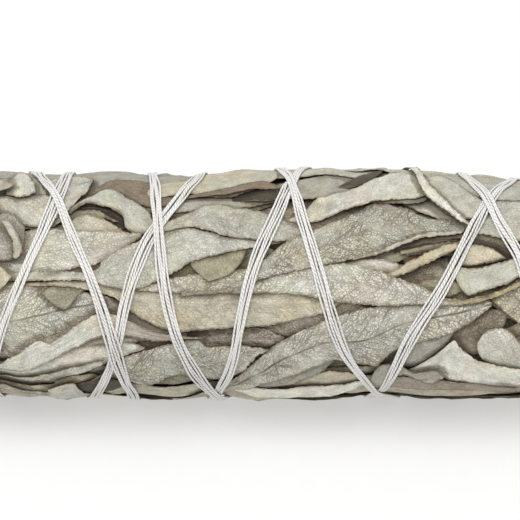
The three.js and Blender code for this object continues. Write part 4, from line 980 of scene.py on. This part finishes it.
    # Relief: sunken veins between the felted cells, fine hairs, soft puckers and long creases.
    height = times(tree, veins, calc(tree, "MULTIPLY_ADD", net, -0.5, -0.2))
    height = calc(tree, "MULTIPLY_ADD", felt, 0.3, height)
    height = calc(tree, "MULTIPLY_ADD", noise(tree, place, 1.3, 3.0), 0.8, height)
    creases = noise(tree, calc_vector(tree, "MULTIPLY", bent, (0.16, 1.3, 1.0)), 0.8, 3.0)
    creases = calc(tree, "ABSOLUTE", calc(tree, "SUBTRACT", creases, 0.5))
    height = calc(tree, "MULTIPLY_ADD", between(tree, creases, 0.0, 0.1), 0.45, height)
    finish_material(tree, colour, height, 0.16 * MM, between(tree, felt, 0.3, 0.7, 0.82, 0.96), 0.1)
    return material


# Packed leaves near-black: their own dark brown deepened as painted shade for the gaps.
INNER_LEAF_AND_GAP_SHADE_DARK, INNER_LEAF_AND_GAP_SHADE_LIGHT = (0.035, 0.026, 0.016, 1), (0.15, 0.115, 0.07, 1)
BARK_DARK, BARK_LIGHT = (0.17, 0.125, 0.075, 1), (0.42, 0.36, 0.26, 1)
PITH_DARK, PITH_LIGHT = (0.62, 0.54, 0.38, 1), (0.76, 0.7, 0.54, 1)


def core_material():
    material, tree = new_material("sage_stem_and_packed_leaves")
    place = put(tree, "ShaderNodeTexCoord")["Object"]
    stem = between(tree, parts(tree, place)[0], -74 * MM, -84 * MM)
    fibre = noise(tree, calc_vector(tree, "MULTIPLY", place, (90.0, 900.0, 900.0)), 1.0, 4.0, 0.6)
    crumple = noise(tree, place, 420.0, 4.0, 0.65)
    inner = blend(tree, between(tree, crumple, 0.3, 0.7), INNER_LEAF_AND_GAP_SHADE_DARK, INNER_LEAF_AND_GAP_SHADE_LIGHT)
    bark = blend(tree, between(tree, fibre, 0.3, 0.7), BARK_DARK, BARK_LIGHT)
    colour = blend(tree, stem, inner, bark)
    pale = blend(tree, between(tree, crumple, 0.35, 0.7), PITH_DARK, PITH_LIGHT)
    colour = blend(tree, held(tree, "pith"), colour, pale)
    height = calc(tree, "ADD", fibre, crumple)
    finish_material(tree, colour, height, 0.3 * MM, between(tree, crumple, 0.3, 0.7, 0.75, 0.95), 0.05)
    return material


LEAF_FINISH = leaf_material()
CORE_FINISH = core_material()


def grid_faces(rows, columns, start, flipped):
    i, j = np.meshgrid(np.arange(rows - 1), np.arange(columns - 1), indexing="ij")
    faces = np.stack([i * columns + j, i * columns + j + 1, (i + 1) * columns + j + 1,
                      (i + 1) * columns + j], axis=-1).reshape(-1, 4) + start
    return faces[:, ::-1] if flipped else faces


def blade_mesh(blade):
    """A blade as a closed slab: its points, faces and what its material reads at each point."""
    x, a = blade["x"], blade["a"]
    rows, columns = x.shape
    outer = rest_on_table(to_space(x, a, press(x, a, blade["outer"])))
    inner = rest_on_table(to_space(x, a, press(x, a, blade["inner"])))
    turning = float(np.sum(np.diff(x, axis=0)[:, 1:] * np.diff(a, axis=1)[1:]
                           - np.diff(a, axis=0)[:, 1:] * np.diff(x, axis=1)[1:]))
    flipped = turning < 0
    count = rows * columns
    order = np.arange(count).reshape(rows, columns)
    rim = np.concatenate([order[0, :-1], order[:-1, -1], order[-1, :0:-1], order[:0:-1, 0]])
    walls = np.stack([rim, np.roll(rim, -1), np.roll(rim, -1) + count, rim + count], -1)
    faces = np.vstack([grid_faces(rows, columns, 0, flipped),
                       grid_faces(rows, columns, count, not flipped),
                       walls if flipped else walls[:, ::-1]])
    rib, stalk = blade["form"]
    along = blade["blade"][..., 0]
    share = along / blade["length"]
    on_stalk = np.clip((stalk - share) / 0.06 + 0.5, 0, 1) if stalk > 0 else 0 * share
    form = np.stack([rib + 0 * along, on_stalk, blade["length"] - along], -1)
    spread = {
        "blade": blade["blade"], "form": form,
        # How far a higher blade reaches over each point, which the finish paints as shade.
        "overlap_shade": np.clip((sample(overlap, x, a) - blade["outer"] - 0.4) / 0.7, 0, 1)[..., None],
        "traits": np.broadcast_to(blade["traits"], (rows, columns, 3)),
        "marks": np.broadcast_to(blade["marks"], (rows, columns, 3)),
        "tint": np.broadcast_to(blade["tint"], (rows, columns, 4)),
    }
    looks = {name: np.vstack([v.reshape(count, -1)] * 2) for name, v in spread.items()}
    return np.vstack([outer.reshape(-1, 3), inner.reshape(-1, 3)]), faces, looks


def core_mesh(rings, pith):
    """A core and stem as a closed tube, its ends gathered to their middles."""
    stations, around = rings.shape[:2]
    x, y, z = np.moveaxis(rings, -1, 0)
    r = np.hypot(y - AXIS_Y, z - AXIS_HEIGHT)
    a = np.degrees(np.arctan2(AXIS_Y - y, z - AXIS_HEIGHT)) - 90 + FACE_ELEVATION
    points = to_space(x, a, press(x, a, r)).reshape(-1, 3)
    ends = [points[:around].mean(0), points[-around:].mean(0)]
    first, last, count = len(points), len(points) + 1, stations * around
    j = np.arange(around)
    k = (j + 1) % around
    caps = np.vstack([np.stack([k, j, np.full(around, first)], -1),
                      np.stack([count - around + j, count - around + k, np.full(around, last)], -1)])
    pith = np.concatenate([pith.reshape(-1), [pith[0, 0], 0.0]])
    return np.vstack([points, ends]), tube_faces(stations, around), caps, pith


def make_piece(name, points, face_sets, looks):
    """A mesh object from points, sets of (faces, material slot) and values at its points."""
    mesh = bpy.data.meshes.new(name)
    mesh.vertices.add(len(points))
    mesh.vertices.foreach_set("co", (points * MM).astype(np.float32).ravel())
    corners = np.concatenate([faces.ravel() for faces, _ in face_sets])
    sizes = np.concatenate([np.full(len(faces), faces.shape[1]) for faces, _ in face_sets])
    mesh.loops.add(len(corners))
    mesh.loops.foreach_set("vertex_index", corners.astype(np.int32))
    mesh.polygons.add(len(sizes))
    mesh.polygons.foreach_set("loop_start", (np.cumsum(sizes) - sizes).astype(np.int32))
    mesh.polygons.foreach_set("material_index", np.concatenate(
        [np.full(len(faces), slot) for faces, slot in face_sets]).astype(np.int32))
    mesh.polygons.foreach_set("use_smooth", np.ones(len(sizes), bool))
    for look, values in looks.items():
        kind = {1: "FLOAT", 3: "FLOAT_VECTOR", 4: "FLOAT_COLOR"}[values.shape[1]]
        key = {1: "value", 3: "vector", 4: "color"}[values.shape[1]]
        attribute = mesh.attributes.new(look, kind, "POINT")
        attribute.data.foreach_set(key, values.astype(np.float32).ravel())
    mesh.update(calc_edges=True)
    mesh.validate()
    piece = bpy.data.objects.new(name, mesh)
    bpy.context.scene.collection.objects.link(piece)
    return piece


def gather(meshes):
    """Several blades' meshes as one."""
    starts = np.cumsum([0] + [len(points) for points, _, _ in meshes[:-1]])
    points = np.vstack([points for points, _, _ in meshes])
    faces = np.vstack([faces + start for (_, faces, _), start in zip(meshes, starts)])
    looks = {key: np.vstack([look[key] for _, _, look in meshes]) for key in meshes[0][2]}
    return points, faces, looks


for index, (rings, pith) in enumerate(cores):
    meshes = [blade_mesh(b) for b in blades if b["cutting"] == index and b["loose"] is None]
    points, faces, looks = gather(meshes)
    core_points, tube, caps, pith_share = core_mesh(rings, pith)
    start, core_count = len(points), len(core_points)
    looks = {key: np.vstack([v, np.zeros((core_count, v.shape[1]))]) for key, v in looks.items()}
    looks["pith"] = np.concatenate([np.zeros(start), pith_share])[:, None]
    cutting = make_piece(f"sage_cutting_{index + 1}", np.vstack([points, core_points]),
                         [(faces, 0), (tube + start, 1), (caps + start, 1)], looks)
    cutting.data.materials.append(LEAF_FINISH)
    cutting.data.materials.append(CORE_FINISH)
    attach(cutting, "root")
    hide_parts(f"sage_sprig_{index + 1}")

for number in sorted({b["loose"] for b in blades if b["loose"] is not None}):
    points, faces, looks = gather([blade_mesh(b) for b in blades if b["loose"] == number])
    leaf = make_piece(f"loose_sage_leaf_{number}", points, [(faces, 0)], looks)
    leaf.data.materials.append(LEAF_FINISH)
    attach(leaf, "root")
    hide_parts(f"loose_leaf_{number}")


# ---- Binding thread ------------------------------------------------------------------------------
# One length of soft white cotton, five two-ply strands side by side, wound up the bundle from the
# base and back down over itself, drawn tight, and knotted over the stems with its ends left hanging.

STRANDS = 5
STRAND_RADIUS = 0.19
STRAND_PITCH = 0.44
STRAND_CLEARANCE = 0.04
STRAND_SIDES = 7
PLY_LENGTH = 0.85
COTTON, COTTON_GROOVE_SHADE = (0.775, 0.77, 0.755, 1), (0.55, 0.525, 0.48, 1)
YELLOWED, FUZZ = (0.93, 0.89, 0.82, 1), (0.8, 0.76, 0.7, 1)
WINDING_STEP = 3.5
TAUT_ROUNDS = 160
KNOT_X, KNOT_A = -81.6, 90.0
KNOT_SIZE, KNOT_HEIGHT = 4.4, 2.2
# Each loop's tilt in degrees and its share of the knot's size.
KNOT_LOOPS = [(0, 0.94), (60, 0.94), (120, 0.94), (0, 0.68), (60, 0.68), (120, 0.68), (30, 0.68)]
TAILS = [[(-81.6, 90), (-85.5, 84), (-89, 77), (-93, 72)],
         [(-81.6, 90), (-86, 97), (-89.5, 104), (-92.5, 112)]]
TAIL_LIFT = 0.05
TAIL_POINTS = 34

strand_paths = []


def wind_strands(route, seed, level):
    """Winds five strands, each taut over what stands out below it, and gives the level they reach."""
    angles = np.arange(route[0][0], route[-1][0], -WINDING_STEP)
    x = route_x(route, angles)
    radius = turn_radius(x)
    slope = np.gradient(x) / np.radians(WINDING_STEP) / radius
    travel = np.arange(len(angles)) * np.radians(WINDING_STEP) * FACE_RADIUS
    spread = 0.92 + 0.3 * wander(travel, 61, seed)
    below = highest_near(level)
    risen = level.copy()
    turn = math.cos(math.radians(WINDING_STEP))
    fine = np.arange(0, len(angles) - 1, 0.25)
    for strand in range(STRANDS):
        offset = (strand - (STRANDS - 1) / 2) * STRAND_PITCH * spread
        offset = offset + 0.16 * wander(travel, 23, seed * 10 + strand)
        strand_x = x + offset / np.sqrt(1 + slope ** 2)
        strand_a = angles + np.degrees(offset * slope / np.sqrt(1 + slope ** 2) / radius)
        lowest = sample(below, strand_x, strand_a) + STRAND_CLEARANCE + STRAND_RADIUS
        taut = lowest.copy()
        for _ in range(TAUT_ROUNDS):
            before, after = taut[:-2], taut[2:]
            taut[1:-1] = np.maximum(lowest[1:-1], 2 * before * after * turn / (before + after))
        strand_paths.append(rest_on_table(to_space(strand_x, strand_a, taut)))
        at = [np.interp(fine, np.arange(len(angles)), v) for v in (strand_x, strand_a, taut)]
        raise_heap(risen, at[0], at[1], at[2] + STRAND_RADIUS)
    return risen


thread_level = wind_strands(WINDING_UP, 3, surface)
thread_level = wind_strands(WINDING_BACK, 8, thread_level)


def lay_tail(places):
    """One strand of a tail through (x, a) places, lying on what is below it."""
    row, _ = smooth_row([(x, math.radians(a) * turn_radius(x)) for x, a in places], TAIL_POINTS)
    x, a = row[:, 0], np.degrees(row[:, 1] / turn_radius(row[:, 0]))
    r = sample(highest_near(thread_level), x, a) + STRAND_RADIUS + TAIL_LIFT
    for _ in range(3):
        r[1:-1] = np.maximum(r[1:-1], (r[:-2] + r[2:]) / 2)
    strand_paths.append(to_space(x, a, r))


knot_draw = Draws(811)
for tail in TAILS:
    for strand in range(STRANDS):
        fan = strand - (STRANDS - 1) / 2
        spread_tail = [(x + 0.1 * fan * i, a + fan * (0.7 + 0.9 * i)) for i, (x, a) in enumerate(tail)]
        x, a = spread_tail[-1]
        spread_tail[-1] = (x + knot_draw(-1.4, 0.6), a + knot_draw(-3, 3))
        lay_tail(spread_tail)
knot_level = float(sample(highest_near(thread_level, 3, 3), np.array([KNOT_X]), np.array([KNOT_A]))[0])
knot_radius = float(turn_radius(KNOT_X))
t = np.linspace(0, 2 * math.pi, 41)[:-1]
t = np.append(t, t[0])
for loop, (tilt, share) in enumerate(KNOT_LOOPS):
    across, up = KNOT_SIZE / 2 * share * np.cos(t), 0.42 * KNOT_HEIGHT * np.sin(t)
    shift = 0.34 * np.sin(t + loop) + (loop % 3 - 1) * 0.42
    dx = across * math.cos(math.radians(tilt)) - shift * math.sin(math.radians(tilt))
    arc = across * math.sin(math.radians(tilt)) + shift * math.cos(math.radians(tilt))
    strand_paths.append(to_space(KNOT_X + dx, KNOT_A + np.degrees(arc / knot_radius),
                                 knot_level + 0.5 * KNOT_HEIGHT + up))


def thread_material():
    material, tree = new_material("soft_white_cotton_thread")
    place = put(tree, "ShaderNodeTexCoord")["Object"]
    turn = parts(tree, held(tree, "turn", "Vector"))
    twist = times(tree, held(tree, "along"), math.pi / (PLY_LENGTH * MM))
    ply = calc(tree, "ADD", times(tree, calc(tree, "SINE", twist), turn[0]),
               times(tree, calc(tree, "COSINE", twist), turn[1]))
    ply = calc(tree, "ABSOLUTE", ply)
    fibre = noise(tree, place, 9000.0, 3.0, 0.7)
    drift = noise(tree, place, 160.0)
    groove = between(tree, ply, 0.0, 0.45)
    # Darker between the plies: painted shade in the grooves, beside their relief in the bump.
    colour = blend(tree, groove, COTTON_GROOVE_SHADE, COTTON)
    colour = blend(tree, between(tree, drift, 0.45, 0.75, 0.0, 0.5), colour, YELLOWED, "MULTIPLY")
    colour = blend(tree, between(tree, fibre, 0.35, 0.65, 0.0, 0.25), colour, FUZZ, "MULTIPLY")
    height = calc(tree, "ADD", times(tree, groove, 0.8), times(tree, fibre, 0.5))
    finish_material(tree, colour, height, 0.09 * MM, between(tree, fibre, 0.3, 0.7, 0.8, 0.95), 0.3)
    return material


def strand_tree(finish):
    """Turns strand paths into round strands, with a place along and round each for its finish."""
    tree = bpy.data.node_groups.new("cotton_strands", "GeometryNodeTree")
    tree.interface.new_socket("Strand paths", in_out="INPUT", socket_type="NodeSocketGeometry")
    sockets = {}
    for name in ("Strand radius", "Sides"):
        kind = "NodeSocketInt" if name == "Sides" else "NodeSocketFloat"
        sockets[name] = tree.interface.new_socket(name, in_out="INPUT", socket_type=kind)
    tree.interface.new_socket("Strands", in_out="OUTPUT", socket_type="NodeSocketGeometry")
    given = put(tree, "NodeGroupInput")
    curve = put(tree, "GeometryNodeMeshToCurve", {"Mesh": given["Strand paths"]})[0]
    length = put(tree, "GeometryNodeSplineParameter")["Length"]
    curve = put(tree, "GeometryNodeStoreNamedAttribute",
                {"Geometry": curve, "Name": "along", "Value": length}, data_type="FLOAT",
                domain="POINT")[0]
    section = put(tree, "GeometryNodeCurvePrimitiveCircle",
                  {"Resolution": given["Sides"], "Radius": given["Strand radius"]}, mode="RADIUS")[0]
    position = put(tree, "GeometryNodeInputPosition")[0]
    direction = put(tree, "ShaderNodeVectorMath", {0: position}, operation="NORMALIZE")[0]
    section = put(tree, "GeometryNodeStoreNamedAttribute",
                  {"Geometry": section, "Name": "turn", "Value": direction},
                  data_type="FLOAT_VECTOR", domain="POINT")[0]
    tube = put(tree, "GeometryNodeCurveToMesh",
               {"Curve": curve, "Profile Curve": section, "Fill Caps": True})[0]
    tube = put(tree, "GeometryNodeRealizeInstances", {"Geometry": tube})[0]
    tube = put(tree, "GeometryNodeSetMaterial", {"Geometry": tube, "Material": finish})[0]
    put(tree, "NodeGroupOutput", (tube,))
    return tree, sockets


paths = bpy.data.meshes.new("strand_paths")
counts = [len(path) for path in strand_paths]
firsts = np.cumsum(counts) - counts
edges = np.vstack([np.stack([np.arange(n - 1), np.arange(1, n)], -1) + first
                   for n, first in zip(counts, firsts)])
paths.from_pydata((np.vstack(strand_paths) * MM).tolist(), edges.tolist(), [])
strands = bpy.data.objects.new("strand_paths", paths)
bpy.context.scene.collection.objects.link(strands)
tree, sockets = strand_tree(thread_material())
modifier = strands.modifiers.new("strands", "NODES")
modifier.node_group = tree
modifier[sockets["Strand radius"].identifier] = STRAND_RADIUS * MM
modifier[sockets["Sides"].identifier] = STRAND_SIDES
shaped = strands.evaluated_get(bpy.context.evaluated_depsgraph_get())
thread_mesh = bpy.data.meshes.new_from_object(shaped)
thread = bpy.data.objects.new("cotton_thread", thread_mesh)
bpy.context.scene.collection.objects.link(thread)
bpy.data.objects.remove(strands)
thread_mesh.name = "cotton_thread"
thread_mesh.polygons.foreach_set("use_smooth", np.ones(len(thread_mesh.polygons), bool))
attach(thread, "root")
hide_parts("binding_thread")


# ---- Table, light and camera ---------------------------------------------------------------------
# A plain white table with a little light of its own, as a lit tabletop has, a broad soft light
# overhead, even light all round, and a long lens that looks down at the face of the bundle.

TABLE_SIZE = 4.0
TABLE_GLOW = 0.44
WORLD_LIGHT = 0.72
SOFTBOX_POWER = 10.0
SOFTBOX_PLACE = (-0.15, -0.3, 1.0)

table_mesh = bpy.data.meshes.new("table")
half = TABLE_SIZE / 2
table_mesh.from_pydata([(-half, -half, 0), (half, -half, 0), (half, half, 0), (-half, half, 0)], [],
                       [(0, 1, 2, 3)])
table = bpy.data.objects.new("table", table_mesh)
bpy.context.scene.collection.objects.link(table)
material, tree = new_material("white_table")
speckle = noise(tree, put(tree, "ShaderNodeTexCoord")["Object"], 300.0)
paint = blend(tree, speckle, (0.42, 0.42, 0.415, 1), (0.44, 0.44, 0.435, 1))
finish_material(tree, paint, speckle, 0.01 * MM, 0.9, 0.0, glow=TABLE_GLOW)
table_mesh.materials.append(material)

scene = bpy.context.scene
scene.view_settings.view_transform = "Standard"
world = bpy.data.worlds.new("studio")
world.use_nodes = True
world.node_tree.nodes["Background"].inputs["Color"].default_value = (1.0, 1.0, 1.0, 1.0)
world.node_tree.nodes["Background"].inputs["Strength"].default_value = WORLD_LIGHT
scene.world = world

softbox_data = bpy.data.lights.new("softbox", "AREA")
softbox_data.shape = "RECTANGLE"
softbox_data.size = 1.2
softbox_data.size_y = 0.8
softbox_data.energy = SOFTBOX_POWER
softbox = bpy.data.objects.new("softbox", softbox_data)
softbox.location = SOFTBOX_PLACE
softbox.rotation_euler = (Vector((0, 0, 0.02)) - softbox.location).to_track_quat("-Z", "Y").to_euler()
scene.collection.objects.link(softbox)

CAMERA_DISTANCE = 1.6
VIEW_WIDTH = 93.6 * MM
AIM_ABOVE_AXIS = 4.86 * MM
SENSOR_WIDTH = 36.0
tilt = math.radians(FACE_ELEVATION)
above = Vector((0, math.sin(tilt), math.cos(tilt)))
aim = Vector((0, AXIS_Y * MM, AXIS_HEIGHT * MM)) + AIM_ABOVE_AXIS * above
camera_data = bpy.data.cameras.new("camera")
camera_data.sensor_width = SENSOR_WIDTH
camera_data.lens = SENSOR_WIDTH * CAMERA_DISTANCE / VIEW_WIDTH
camera = bpy.data.objects.new("camera", camera_data)
camera.location = aim + CAMERA_DISTANCE * Vector((0, -math.cos(tilt), math.sin(tilt)))
camera.rotation_euler = (aim - camera.location).to_track_quat("-Z", "Y").to_euler()
scene.collection.objects.link(camera)
scene.camera = camera
